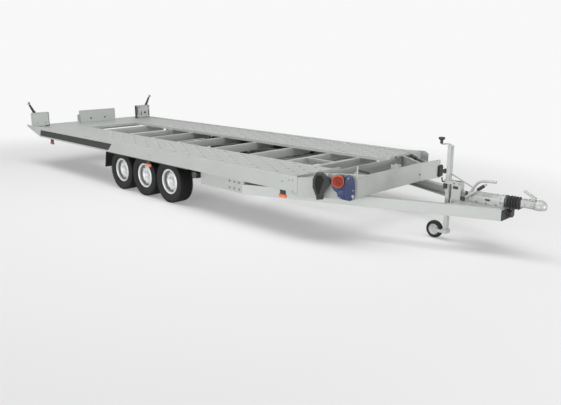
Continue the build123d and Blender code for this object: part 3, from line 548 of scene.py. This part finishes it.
# Bright folded flanges on the edges of the front beam, its braces and the end plate
def build_flanges(work):
    middle = [(3.2855, -0.750), (3.2405, -0.430), (3.2405, 0.430), (3.2855, 0.750)]
    right_end = [(2.810, -1.095), (3.2855, -0.750)]
    left_end = [(3.2855, 0.750), (2.810, 1.095)]
    for points, top in ((middle, beam_top), (right_end, beam_top), (left_end, 0.570)):
        add_flange(work, points, 0.022, top - 0.003, top + 0.0006)
        add_flange(work, points, 0.022, beam_foot - 0.0006, beam_foot + 0.004)
    add_flange(work, [(2.812, 0.704), (3.236, 0.430)], -0.020, beam_top - 0.003, beam_top + 0.0006)
    add_flange(work, [(2.812, -0.704), (3.236, -0.430)], 0.020, deck_top - 0.003, deck_top + 0.0006)
    add_flange(work, [(2.8085, -0.452), (2.8085, 0.452)], 0.014, deck_top - 0.003, deck_top + 0.0006)


make("beam_flanges", build_flanges, galvanised_bright, "bed", angle=30.0)
make("sheet_folds", build_folds, galvanised, "bed", angle=50.0)

# Bolts of the skirts, the end plate and the lamp boxes
skirt_bolts = [(2.742, 0.618), (2.695, 0.613), (2.597, 0.585), (2.745, 0.508), (0.226, 0.566)]


def build_bed_bolts(work):
    for sign in (-1, 1):
        for x, z in skirt_bolts:
            face = skirt_face + (0.005 if sign > 0 and x > 2.552 else 0.0)
            add_bolt(work, (x, sign * face, z), (0, sign, 0), 0.0065, 0.006)
        for y in (0.500, 0.700, 0.900):
            add_bolt(work, (plate_front, sign * y, 0.480), (1, 0, 0), 0.0085, 0.009)
        for y in (0.90, 1.05):
            add_bolt(work, (lamp_face, sign * y, 0.700), (1, 0, 0), 0.0075, 0.007)


def build_hole_shade(work):
    # Black discs of painted shade for the strap holes of the end plate, and for the hole of the front beam
    for y in (0.562, -1.077):
        add_rod(work, (plate_front - 0.002, y, 0.6505), (plate_front + 0.0015, y, 0.6505), 0.0135, 20)
    add_rod(work, (3.2395, 0.403, 0.530), (3.2425, 0.403, 0.530), 0.0110, 20)


make("plate_hole_shade", build_hole_shade, black_plastic, "bed", angle=30.0)
make("bed_bolts", build_bed_bolts, galvanised_shade, "bed", angle=25.0)


# Lamp boxes: a folded flange round the front, and a black strip with its foot on the inner edge, painted
# shade of the inner flange
def build_lamp_flanges(work):
    for y0, y1, z0, z1 in (
        (lamp_inner, lamp_outer, 0.862, 0.870), (lamp_inner, lamp_outer, 0.656, 0.664),
        (lamp_inner, lamp_inner + 0.008, 0.664, 0.862), (lamp_outer - 0.008, lamp_outer, 0.664, 0.862),
    ):
        add_pair(work, (lamp_face - 0.004, y0, z0), (lamp_face + 0.008, y1, z1), 0.0018)


def build_lamp_edge_shade(work):
    # Black strip on the inner end of each box, with its foot on the deck: painted shade of the box's inner
    # flange
    add_pair(work, (lamp_face - 0.047, lamp_inner - 0.002, 0.642),
             (lamp_face + 0.011, lamp_inner + 0.006, 0.866), 0.0025)
    add_pair(work, (lamp_face - 0.052, lamp_inner - 0.006, 0.641),
             (lamp_face - 0.005, lamp_inner + 0.050, 0.6575), 0.003)


# Dark spots and bars on the front of the left box: painted shade of its openings
def build_box_opening_shade(work):
    for y, z, radius in ((1.022, 0.735, 0.021), (0.905, 0.835, 0.010), (1.085, 0.845, 0.008)):
        add_rod(work, (lamp_face - 0.001, y, z), (lamp_face + 0.0025, y, z), radius, 20)
    for y, z0, z1 in ((0.868, 0.700, 0.845), (0.945, 0.690, 0.760), (1.100, 0.680, 0.780)):
        add_soft_box(work, (lamp_face - 0.001, y - 0.007, z0), (lamp_face + 0.002, y + 0.007, z1), 0.001)


make("lamp_flanges", build_lamp_flanges, galvanised, "bed", angle=30.0)
make("lamp_edge_shade", build_lamp_edge_shade, black_plastic, "bed", angle=30.0)
make("lamp_box_opening_shade", build_box_opening_shade, dark_band, "bed", angle=30.0)


# Lenses on the back of the lamp boxes: brake and tail light, turn signal, reversing light
def lens_builder(inner, outer):
    return lambda work: add_pair(work, (-3.2125, inner, 0.680), (-3.1995, outer, 0.846), 0.005)


def build_lamp_holders(work):
    add_pair(work, (-3.201, 0.850, 0.668), (-3.194, 1.112, 0.858), 0.003)


make("lamp_holders", build_lamp_holders, black_plastic, "bed", angle=30.0)
make("tail_lenses", lens_builder(0.972, 1.104), lens_red, "bed", angle=30.0)
make("turn_lenses", lens_builder(0.912, 0.967), lens_amber, "bed", angle=30.0)
make("reversing_lenses", lens_builder(0.858, 0.907), lens_white, "bed", angle=30.0)


# Plate panel: folded rim, the bump on its right end, the plate lamp on its back and the grommets of its holes
def build_panel_trim(work):
    add_soft_box(work, (-3.216, -0.262, 0.838), (-3.186, 0.417, 0.848), 0.002)
    add_soft_box(work, (-3.216, -0.262, 0.641), (-3.184, 0.417, 0.647), 0.0015)
    for y0, y1 in ((-0.262, -0.254), (0.409, 0.417)):
        add_soft_box(work, (-3.216, y0, 0.645), (-3.187, y1, 0.842), 0.002)


def build_panel_lamp(work):
    add_soft_box(work, (-3.226, -0.297, 0.667), (-3.188, -0.262, 0.783), 0.006)
    add_soft_box(work, (-3.238, 0.020, 0.800), (-3.208, 0.130, 0.836), 0.006)


def build_grommets(work):
    profile = [(0.0066, 0.0002), (0.0066, 0.0030), (0.0100, 0.0040), (0.0150, 0.0025), (0.0160, -0.0002)]
    for y in (-0.0595, 0.2075):
        add_lathe(work, profile, turned((panel_face, y, 0.707), 90, "Y"), 24)


make("panel_trim", build_panel_trim, galvanised, "bed", angle=30.0)
make("panel_lamp", build_panel_lamp, galvanised_shade, "bed", angle=30.0)
make("panel_grommets", build_grommets, black_plastic, "bed", angle=30.0)


# Marker lamps: ribbed rubber stalks with round heads, white to the front and red to the rear
def marker_lines():
    for sign in (-1, 1):
        foot = Vector((lamp_face - lamp_depth / 2, sign * 1.066, lamp_top))
        head = Vector((lamp_face - lamp_depth / 2, sign * 1.148, 1.029))
        yield foot, head


def build_stalks(work):
    for foot, head in marker_lines():
        profile = [(0.0270, 0.001), (0.0270, 0.010), (0.0240, 0.016)]
        for step in range(7):
            height = 0.018 + 0.0175 * step
            thick = 0.0215 - 0.0006 * step
            profile += [(thick - 0.003, height), (thick, height + 0.006), (thick, height + 0.011),
                        (thick - 0.003, height + 0.017)]
        profile += [(0.0140, 0.160)]
        add_lathe(work, profile, aimed(foot, (head - foot).normalized()), 20)


def marker_ring_builder(profile, direction=1):
    def build(work):
        for foot, head in marker_lines():
            add_lathe(work, profile, turned(head, 90 * direction, "Y"), 32)
    return build


marker_rim = [(0.0002, -0.0150), (0.0225, -0.0150), (0.0258, -0.0125), (0.0258, 0.0125), (0.0225, 0.0150),
              (0.0180, 0.0150)]
marker_dome = [(0.0182, 0.0135), (0.0176, 0.0160), (0.0140, 0.0178), (0.0080, 0.0190), (0.0002, 0.0194)]


make("marker_stalks_ribbed", build_stalks, black_rubber, "bed", ("marker_stalks",), 50.0)
make("marker_rings", marker_ring_builder(marker_rim), lens_white, "bed", angle=50.0)
make("marker_lenses_front", marker_ring_builder(marker_dome), marker_grey, "bed", angle=50.0)
make("marker_lenses_rear", marker_ring_builder(marker_dome, -1), lens_red, "bed", angle=50.0)

# Side lamps hung under the skirts: a black holder with a coloured lens below it
side_lamp_near = 1.0843
side_lamp_far = 1.1053
side_lamp_seam = 0.456
amber_places = [0.190, 2.604]
red_places = [-2.540]


def build_side_holders(work):
    for x in red_places + amber_places:
        add_pair(work, (x - 0.0375, side_lamp_near, side_lamp_seam - 0.004),
                 (x + 0.0375, side_lamp_far - 0.002, skirt_foot), 0.004)


def side_lens_builder(places):
    def build(work):
        for x in places:
            add_pair(work, (x - 0.056, side_lamp_near, 0.418),
                     (x + 0.056, side_lamp_far + 0.003, side_lamp_seam + 0.001), 0.009)
    return build


make("side_lamp_holders", build_side_holders, black_plastic, "bed", ("side_lamps",), 30.0)
make("side_lenses_amber", side_lens_builder(amber_places), lens_amber, "bed", angle=40.0)
make("side_lenses_red", side_lens_builder(red_places), lens_red, "bed", angle=40.0)

# The slanted plate that carries the chock and the winch: s along it, d out from it
slant_start = Vector((2.808, -1.095, 0.0))
slant_along = (Vector((3.285, -0.750, 0.0)) - slant_start).normalized()
slant_out = slant_along.cross(Vector((0.0, 0.0, 1.0)))


def on_slant(s, d, z):
    return slant_start + slant_along * s + slant_out * d + Vector((0.0, 0.0, z))


def add_slant_slab(work, outline, d0, d1, round_off=0.0):
    # A slab with an outline of (s, z) places, with its outer rim rounded off
    made = bmesh.new()
    inner = [made.verts.new(on_slant(s, d0, z)) for s, z in outline]
    outer = [made.verts.new(on_slant(s, d1, z)) for s, z in outline]
    top = add_prism(made, inner, outer)
    if round_off:
        bmesh.ops.bevel(made, geom=list(top.edges), offset=round_off, segments=3, affect="EDGES", profile=0.6)
    copy_into(work, made)


def round_outline(s, z, half_s, half_z, steps, power):
    points = []
    for cosine, sine in around(steps):
        points.append((s + half_s * math.copysign(abs(cosine) ** (2 / power), cosine),
                       z + half_z * math.copysign(abs(sine) ** (2 / power), sine)))
    return points


winch_outline = [
    (0.463, 0.667), (0.474, 0.683), (0.492, 0.696), (0.515, 0.694), (0.541, 0.673), (0.556, 0.643),
    (0.561, 0.599), (0.561, 0.487), (0.557, 0.472), (0.548, 0.461), (0.510, 0.453), (0.454, 0.462),
    (0.412, 0.474), (0.403, 0.484), (0.397, 0.501), (0.392, 0.535), (0.359, 0.555), (0.350, 0.566),
    (0.344, 0.589), (0.339, 0.628), (0.352, 0.667), (0.383, 0.690), (0.428, 0.690),
]


def build_winch_body(work):
    add_slant_slab(work, winch_outline, 0.008, 0.070, 0.006)
    # Raised gear cover, tall and rounded
    add_slant_slab(work, round_outline(0.511, 0.574, 0.048, 0.119, 32, 2.6), 0.066, 0.088, 0.009)
    add_slant_slab(work, round_outline(0.445, 0.520, 0.050, 0.045, 24, 3.0), 0.066, 0.082, 0.008)


def build_winch_bolts(work):
    for s, z in ((0.497, 0.676), (0.545, 0.560), (0.545, 0.480), (0.415, 0.487), (0.475, 0.600)):
        add_bolt(work, on_slant(s, 0.068 if s != 0.475 else 0.066, z), slant_out, 0.006, 0.022)
    # Square shaft of the crank
    add_rod(work, on_slant(0.545, 0.080, 0.505), on_slant(0.545, 0.118, 0.505), 0.0085, 4)
    add_rod(work, on_slant(0.545, 0.080, 0.505), on_slant(0.545, 0.096, 0.505), 0.014, 20)


strap_disc_matrix = aimed(on_slant(0.400, 0.0, 0.649), slant_out)


def build_strap_roll(work):
    profile = [
        (0.0560, 0.060), (0.0575, 0.064), (0.0580, 0.108), (0.0560, 0.114), (0.0500, 0.115),
        (0.0485, 0.112),
    ]
    for turn_number in range(6):
        radius = 0.0470 - 0.0042 * turn_number
        profile += [(radius, 0.1105), (radius - 0.0018, 0.1120), (radius - 0.0036, 0.1105)]
    profile += [(0.0200, 0.1080), (0.0190, 0.0980), (0.0002, 0.0980)]
    add_lathe(work, profile, strap_disc_matrix)


def build_strap_ring(work):
    profile = [(0.0480, 0.1100), (0.0500, 0.1150), (0.0560, 0.1155), (0.0582, 0.1130), (0.0583, 0.1080)]
    add_lathe(work, profile, strap_disc_matrix)


make("winch_body", build_winch_body, winch_blue, "bed", ("winch",), 30.0)
make("winch_bolts", build_winch_bolts, galvanised_bright, "bed", angle=30.0)
make("strap_roll", build_strap_roll, winch_red, "bed", ("winch_disc",), 30.0)
strap_orange = moulded_plastic("winch_strap_edge", (0.46, 0.085, 0.035), 0.5, 500.0)
make("strap_ring", build_strap_ring, strap_orange, "bed", angle=40.0)

# Wheel chock: a dark wedge, with a near-black patch on its side as the painted shade of its hollow
chock_outline = [
    (0.158, 0.658), (0.170, 0.690), (0.190, 0.717), (0.249, 0.717), (0.290, 0.682), (0.325, 0.645),
    (0.333, 0.620), (0.293, 0.565), (0.253, 0.512), (0.261, 0.466), (0.196, 0.460), (0.193, 0.509),
    (0.158, 0.579),
]
chock_hollow_shade = [
    (0.180, 0.655), (0.198, 0.700), (0.244, 0.700), (0.268, 0.660), (0.240, 0.575), (0.220, 0.512),
    (0.206, 0.516), (0.182, 0.590),
]
chock_black = moulded_plastic("chock_rubber", (0.016, 0.017, 0.016), 0.6, 300.0)
# Near-black for the painted shade of the chock's hollow
chock_shade_black = moulded_plastic("chock_hollow_shade", (0.0015, 0.0015, 0.0015), 0.9, 300.0)


def build_chock(work):
    add_slant_slab(work, chock_outline, 0.008, 0.104, 0.005)
    # Ribs across the sole
    for step in range(5):
        s = 0.268 + 0.0135 * step
        add_tube_path(work, [on_slant(s, 0.1035, 0.545 + 0.017 * step + 0.012),
                             on_slant(s + 0.004, 0.1035, 0.690 - 0.012 * step)], 0.0016, 6)


# A thin near-black patch on the chock's side: painted shade of the hollow
def build_chock_hollow_shade(work):
    add_slant_slab(work, chock_hollow_shade, 0.1030, 0.1046)


make("chock_wedge", build_chock, chock_black, "bed", ("wheel_chock",), 30.0)
make("chock_hollow_shade", build_chock_hollow_shade, chock_shade_black, "bed", angle=20.0)


# Small L-shaped clip on the end plate
def build_clips(work):
    add_soft_box(work, (plate_front - 0.001, -1.050, 0.505), (plate_front + 0.008, -1.040, 0.572), 0.0015)
    add_soft_box(work, (plate_front - 0.001, -1.050, 0.564), (plate_front + 0.008, -0.985, 0.572), 0.0015)


# Dark grip bar beside the post of the winch, and the arm that carries it
def build_grip(work):
    line = [(3.160, -0.600, 0.704), (3.172, -0.600, 0.7035), (3.285, -0.600, 0.6965), (3.297, -0.600, 0.696)]
    add_tube_path(work, line, 0.0105, 12)


def build_grip_arm(work):
    line = [(3.168, -0.600, 0.703), (3.168, -0.640, 0.690), (3.185, -0.700, 0.668), (3.190, -0.715, 0.642)]
    add_tube_path(work, line, 0.0055)


# Dark rounded block on the face of the beam at its left corner: painted shade where the beam's corner turns
# away from the light
def build_corner_shade(work):
    add_soft_box(work, (3.268, 0.702, 0.463), (3.300, 0.800, 0.600), 0.012)


# Dark rods, thick then thin, in the left corner from the end plate down to the brace: painted shade of the
# opening beside the brace
def build_corner_gap_shade(work):
    add_tube_path(work, [(2.815, 0.885, 0.632), (2.850, 0.853, 0.632), (2.955, 0.760, 0.632)], 0.0215, 14)
    add_tube_path(work, [(2.945, 0.769, 0.634), (3.060, 0.665, 0.637), (3.222, 0.516, 0.641)], 0.0110, 12)


make("plate_clip", build_clips, black_plastic, "bed", angle=30.0)
make("winch_grip", build_grip, black_plastic, "bed", angle=50.0)
make("winch_grip_arm", build_grip_arm, galvanised_bright, "bed", angle=50.0)
make("corner_painted_shade", build_corner_shade, dark_band, "bed", angle=50.0)
make("corner_gap_shade", build_corner_gap_shade, black_plastic, "bed", angle=50.0)


# Coupling line: ribbed bellows with their clamps
def build_bellows(work):
    profile = [(0.026, 0.0002), (0.052, 0.0002), (0.0545, 0.006), (0.0545, 0.014)]
    for rib in range(4):
        height = 0.018 + 0.0256 * rib
        profile += [(0.0430, height), (0.0585, height + 0.0080), (0.0615, height + 0.0128),
                    (0.0585, height + 0.0176)]
    profile += [(0.0465, 0.1200), (0.0440, 0.1240), (0.0440, 0.1340), (0.0250, 0.1355)]
    add_lathe(work, profile, turned((4.4443, 0, coupling_height), 90, "Y"))


make("bellows_ribbed", build_bellows, black_rubber, "chassis", ("bellows",), 50.0)


coupling_line = turned((0, 0, coupling_height), 90, "Y")


def build_overrun_trim(work):
    for start, end, radius in ((4.385, 4.398, 0.0565), (4.100, 4.112, 0.0525)):
        profile = [
            (radius - 0.006, start), (radius, start + 0.002), (radius, end - 0.002), (radius - 0.006, end),
        ]
        add_lathe(work, profile, coupling_line, 40)
    for x in (4.150, 4.250, 4.350):
        for sign in (-1, 1):
            add_bolt(work, (x, sign * 0.075, 0.458), (0, 0, 1), 0.010, 0.012)
    for sign in (-1, 1):
        side_line = sign * 0.0505
        add_soft_box(work, (4.120, side_line - 0.004, 0.458), (4.400, side_line + 0.004, 0.478), 0.002)
    # Grease nipples on top of the housing
    for x in (4.170, 4.340):
        add_rod(work, (x, 0, 0.553), (x, 0, 0.566), 0.0045, 10, 0.003)


def build_overrun_sleeve(work):
    add_soft_box(work, (4.243, -0.0545, 0.488), (4.293, -0.0440, 0.506), 0.004)
    profile = [(0.0540, 4.4285), (0.0600, 4.4305), (0.0600, 4.4420), (0.0540, 4.4440)]
    add_lathe(work, profile, coupling_line, 40)
    # Dark fork at the foot of the lever
    add_soft_box(work, (4.012, -0.099, 0.4585), (4.062, -0.093, 0.500), 0.002)
    add_soft_box(work, (4.040, -0.0560, 0.500), (4.066, -0.0440, 0.548), 0.004)


make("overrun_trim", build_overrun_trim, galvanised_bright, "chassis", angle=35.0)
make("overrun_clip", build_overrun_sleeve, black_plastic, "chassis", angle=30.0)


# Coupling head: cheeks, latch and bolts
def build_head_trim(work):
    for x in (4.612, 4.668):
        for sign in (-1, 1):
            add_bolt(work, (x, sign * 0.038, coupling_height), (0, sign, 0), 0.009, 0.011)
    add_soft_box(work, (4.585, -0.041, 0.4805), (4.735, 0.041, 0.4900), 0.003)
    add_soft_box(work, (4.630, -0.020, 0.5490), (4.705, 0.020, 0.5600), 0.004)


def build_handle_grip(work):
    add_tube_path(work, [(4.590, 0, 0.6265), (4.612, 0, 0.6150), (4.650, 0, 0.5960)], 0.0135, 14)


make("head_trim", build_head_trim, galvanised_bright, "chassis", angle=35.0)
make("handle_grip", build_handle_grip, galvanised_bright, "chassis", angle=50.0)


# Handbrake lever: a rounded grip bar over the flat lever, and the strut with its black sleeve
lever_line = -0.060
strut_line = -0.082


def build_lever_bar(work):
    line = [(4.060, 0.474), (4.105, 0.560), (4.1325, 0.606), (4.162, 0.644), (4.192, 0.664), (4.240, 0.6735),
            (4.3475, 0.6785)]
    add_tube_path(work, [(x, lever_line, z) for x, z in line], 0.0125, 14)


strut_matrix = aimed((4.036, strut_line, 0.472), Vector((0.229, 0.0, 0.180)).normalized())


def build_strut(work):
    profile = [
        (0.0002, 0.0), (0.0130, 0.001), (0.0140, 0.004), (0.0140, 0.190), (0.0120, 0.194), (0.0055, 0.196),
        (0.0055, 0.268), (0.0105, 0.270), (0.0105, 0.288), (0.0002, 0.290),
    ]
    add_lathe(work, profile, strut_matrix, 24)


def build_strut_sleeve(work):
    add_lathe(work, [(0.0130, 0.182), (0.0160, 0.184), (0.0160, 0.258), (0.0060, 0.262)], strut_matrix, 24)


make("lever_bar", build_lever_bar, galvanised_bright, "chassis", ("handbrake_lever",), 50.0)
make("strut_tube", build_strut, galvanised_bright, "chassis", ("gas_strut",), 50.0)
make("strut_sleeve", build_strut_sleeve, black_plastic, "chassis", angle=50.0)


# Thin rod from the jockey bracket down to the lever
def build_release_rod(work):
    line = [(3.852, 0.000, 0.676), (3.880, -0.004, 0.672), (4.090, -0.050, 0.603), (4.122, -0.058, 0.592)]
    add_tube_path(work, line, 0.0062)


make("release_rod", build_release_rod, galvanised_shade, "chassis", angle=50.0)


# Jockey tube: rounded square tube, a thin bent crank and a black knob
def build_jockey_tube(work):
    made = bmesh.new()
    add_box(made, (3.801, -0.025, 0.500), (3.851, 0.025, 0.957))
    upright = [edge for edge in made.edges if abs(edge.verts[0].co.z - edge.verts[1].co.z) > 0.1]
    bmesh.ops.bevel(made, geom=upright, offset=0.008, segments=4, affect="EDGES")
    # The tube is open at its foot, where the leg slides in
    foot_faces = [face for face in made.faces if all(vertex.co.z < 0.501 for vertex in face.verts)]
    bmesh.ops.delete(made, geom=foot_faces, context="FACES")
    copy_into(work, made)
    add_soft_box(work, (3.7995, -0.0265, 0.946), (3.8525, 0.0265, 0.9585), 0.003)
    add_rod(work, (3.826, 0, 0.957), (3.826, 0, 0.966), 0.012, 20)


def build_jockey_crank(work):
    line = [(3.826, 0.958), (3.824, 0.966), (3.815, 0.9705), (3.790, 0.9715), (3.748, 0.966), (3.730, 0.964),
            (3.722, 0.968), (3.721, 0.980)]
    add_tube_path(work, [(x, 0, z) for x, z in line], 0.0065, 12)


def build_jockey_knob(work):
    profile = [
        (0.0002, 0.966), (0.0120, 0.967), (0.0150, 0.976), (0.0145, 0.990), (0.0150, 1.002),
        (0.0250, 1.008), (0.0320, 1.014), (0.0335, 1.021), (0.0320, 1.028), (0.0240, 1.032),
        (0.0002, 1.033),
    ]
    add_lathe(work, profile, Matrix.Translation((3.721, 0, 0.0)), 32)


make("jockey_tube_skin", build_jockey_tube, galvanised, "chassis", ("jockey_tube",), 30.0)
make("jockey_crank", build_jockey_crank, galvanised_shade, "chassis", angle=50.0)
make("jockey_knob", build_jockey_knob, black_plastic, "chassis", angle=50.0)


# Clamp of the jockey tube with its black handle and block
def build_clamp(work):
    add_soft_box(work, (3.771, -0.034, 0.681), (3.803, 0.012, 0.725), 0.006)
    add_soft_box(work, (3.786, -0.036, 0.532), (3.803, 0.018, 0.586), 0.004)
    add_soft_box(work, (3.786, -0.0365, 0.532), (3.829, -0.0255, 0.586), 0.004)
    line = [(-0.036, 0.600), (-0.058, 0.604), (-0.070, 0.622), (-0.076, 0.650)]
    add_tube_path(work, [(3.792, y, z) for y, z in line], 0.0065, 12)


def build_bracket_trim(work):
    for z in (0.600, 0.400):
        for x in (3.900, 3.960):
            add_bolt(work, (x, -0.033, z), (0, -1, 0), 0.009, 0.010)


# Black strip on the face of the jockey bracket: painted shade of its slot
def build_bracket_slot_shade(work):
    add_soft_box(work, (3.894, -0.0345, 0.545), (3.949, -0.0325, 0.572), 0.0004)


make("bracket_slot_shade", build_bracket_slot_shade, black_plastic, "chassis", angle=30.0)
make("jockey_clamp", build_clamp, black_plastic, "chassis", angle=30.0)
make("bracket_bolts", build_bracket_trim, galvanised_shade, "chassis", angle=30.0)


# Jockey wheel: a pale dished rim inside its black tyre
jockey_middle = (3.701, 0, 0.090)


def build_jockey_rim(work):
    profile = [(0.0560, 0.0235), (0.0550, 0.0255), (0.0520, 0.0258), (0.0480, 0.0210), (0.0300, 0.0180),
               (0.0220, 0.0230), (0.0200, 0.0275), (0.0095, 0.0280), (0.0085, 0.0200)]
    for sign in (-1, 1):
        add_lathe(work, profile, turned(jockey_middle, -90 * sign, "X"), 40)


def build_jockey_tyre(work):
    profile = [(0.0550, -0.0235), (0.0700, -0.0250), (0.0810, -0.0235), (0.0870, -0.0180), (0.0897, -0.0090),
               (0.0899, 0.0), (0.0897, 0.0090), (0.0870, 0.0180), (0.0810, 0.0235), (0.0700, 0.0250),
               (0.0550, 0.0235), (0.0480, 0.0150), (0.0480, -0.0150), (0.0550, -0.0235)]
    add_lathe(work, profile, turned(jockey_middle, -90, "X"), 56)


make("jockey_tyre", build_jockey_tyre, tyre_black, "jockey_wheel", ("jockey_wheel",), 50.0)
make("jockey_rim", build_jockey_rim, galvanised_bright, "jockey_wheel", angle=40.0)


# Plug holder: a round socket with a hinged lid on the closing plate
def build_plug(work):
    profile = [
        (0.0380, -0.001), (0.0380, 0.006), (0.0330, 0.010), (0.0330, 0.032), (0.0350, 0.034),
        (0.0350, 0.040), (0.0300, 0.042), (0.0002, 0.042),
    ]
    add_lathe(work, profile, turned((4.458, 0, 0.396), 90, "Y"), 36)
    add_soft_box(work, (4.4575, -0.043, 0.3560), (4.4640, 0.043, 0.4370), 0.002)
    add_rod(work, (4.493, -0.022, 0.4330), (4.493, 0.022, 0.4330), 0.0045, 12)


def build_closing_plate(work):
    add_soft_box(work, (4.4500, -0.130, 0.3430), (4.4580, 0.130, 0.4380), 0.0015)


make("plug_socket", build_plug, black_plastic, "chassis", ("plug_holder",), 40.0)
make("closing_plate", build_closing_plate, dark_band, "chassis", angle=30.0)


# Chassis bolts at the joint of the A-frame and the outer rails
def build_chassis_bolts(work):
    for sign in (-1, 1):
        for x in (1.700, 1.780, 1.860):
            for z in (0.372, 0.448):
                add_bolt(work, (x, sign * 1.030, z), (0, sign, 0), 0.0095, 0.010)


make("chassis_bolts", build_chassis_bolts, galvanised_shade, "chassis", angle=30.0)

# Floor and backdrop: pale, fading into the white of the background
floor_half = 60.0
fade_centre = (-0.5, -2.5, 0.0)
fade_start = 4.2
fade_end = 8.0
background_white = (0.94, 0.94, 0.94)
shadow_lift = 0.27
floor_mesh = bpy.data.meshes.new("floor")
floor_work = bmesh.new()
bmesh.ops.create_grid(floor_work, x_segments=1, y_segments=1, size=floor_half)
floor_work.to_mesh(floor_mesh)
floor_work.free()
floor = bpy.data.objects.new("floor", floor_mesh)
floor.location = (0.0, 0.0, -0.0005)
bpy.context.scene.collection.objects.link(floor)


def seen_rays(tree):
    # One for camera, glossy and transmission rays, so that metal and glass show the background too
    paths = tree.nodes.new("ShaderNodeLightPath")
    total = paths.outputs["Is Camera Ray"]
    for name in ("Is Glossy Ray", "Is Transmission Ray"):
        largest = tree.nodes.new("ShaderNodeMath")
        largest.operation = "MAXIMUM"
        tree.links.new(total, largest.inputs[0])
        tree.links.new(paths.outputs[name], largest.inputs[1])
        total = largest.outputs["Value"]
    return total


floor_material, floor_shader = new_material("floor_paper", (0.87, 0.87, 0.87), 0.9)
floor_shader.inputs["Specular IOR Level"].default_value = 0.1
links = floor_material.node_tree.links
where = floor_material.node_tree.nodes.new("ShaderNodeTexCoord")
distance = floor_material.node_tree.nodes.new("ShaderNodeVectorMath")
distance.operation = "DISTANCE"
distance.inputs[1].default_value = fade_centre
links.new(where.outputs["Object"], distance.inputs[0])
fade = add_node(floor_material, "ShaderNodeMapRange")
fade.interpolation_type = "SMOOTHSTEP"
fade.inputs["From Min"].default_value = fade_start
fade.inputs["From Max"].default_value = fade_end
fade.inputs["To Min"].default_value = shadow_lift
links.new(distance.outputs["Value"], fade.inputs["Value"])
glow = add_node(floor_material, "ShaderNodeEmission", Strength=1.0)
glow.inputs["Color"].default_value = (*background_white, 1.0)
seen = floor_material.node_tree.nodes.new("ShaderNodeMath")
seen.operation = "MULTIPLY"
links.new(seen_rays(floor_material.node_tree), seen.inputs[0])
links.new(fade.outputs["Result"], seen.inputs[1])
blend = floor_material.node_tree.nodes.new("ShaderNodeMixShader")
output = floor_material.node_tree.nodes["Material Output"]
links.new(seen.outputs["Value"], blend.inputs["Fac"])
links.new(floor_shader.outputs["BSDF"], blend.inputs[1])
links.new(glow.outputs["Emission"], blend.inputs[2])
links.new(blend.outputs["Shader"], output.inputs["Surface"])
floor_mesh.materials.append(floor_material)

# World: soft even light, and the background's white for the camera
world = bpy.data.worlds.new("studio")
bpy.context.scene.world = world
world.use_nodes = True
world_nodes = world.node_tree.nodes
world_links = world.node_tree.links
world_nodes.clear()
light = world_nodes.new("ShaderNodeBackground")
light.inputs["Color"].default_value = (1.0, 1.0, 1.0, 1.0)
light.inputs["Strength"].default_value = 0.16
backdrop = world_nodes.new("ShaderNodeBackground")
backdrop.inputs["Color"].default_value = (*background_white, 1.0)
backdrop.inputs["Strength"].default_value = 1.0
world_blend = world_nodes.new("ShaderNodeMixShader")
world_output = world_nodes.new("ShaderNodeOutputWorld")
world_links.new(seen_rays(world.node_tree), world_blend.inputs["Fac"])
world_links.new(light.outputs["Background"], world_blend.inputs[1])
world_links.new(backdrop.outputs["Background"], world_blend.inputs[2])
world_links.new(world_blend.outputs["Shader"], world_output.inputs["Surface"])


def add_area_light(name, place, target, size, power):
    data = bpy.data.lights.new(name, "AREA")
    data.shape = "RECTANGLE"
    data.size = size[0]
    data.size_y = size[1]
    data.energy = power
    lamp = bpy.data.objects.new(name, data)
    bpy.context.scene.collection.objects.link(lamp)
    lamp.location = place
    lamp.rotation_euler = (Vector(target) - Vector(place)).to_track_quat("-Z", "Y").to_euler()


add_area_light("overhead", (0.3, -1.9, 7.2), (0.0, -0.6, 0.5), (15.0, 3.6), 590.0)
add_area_light("near_side", (1.5, -15.0, 1.7), (0.0, 0.0, 0.6), (16.0, 2.6), 1500.0)
add_area_light("front_side", (15.0, 1.5, 1.6), (2.0, 0.0, 0.6), (6.0, 2.4), 800.0)
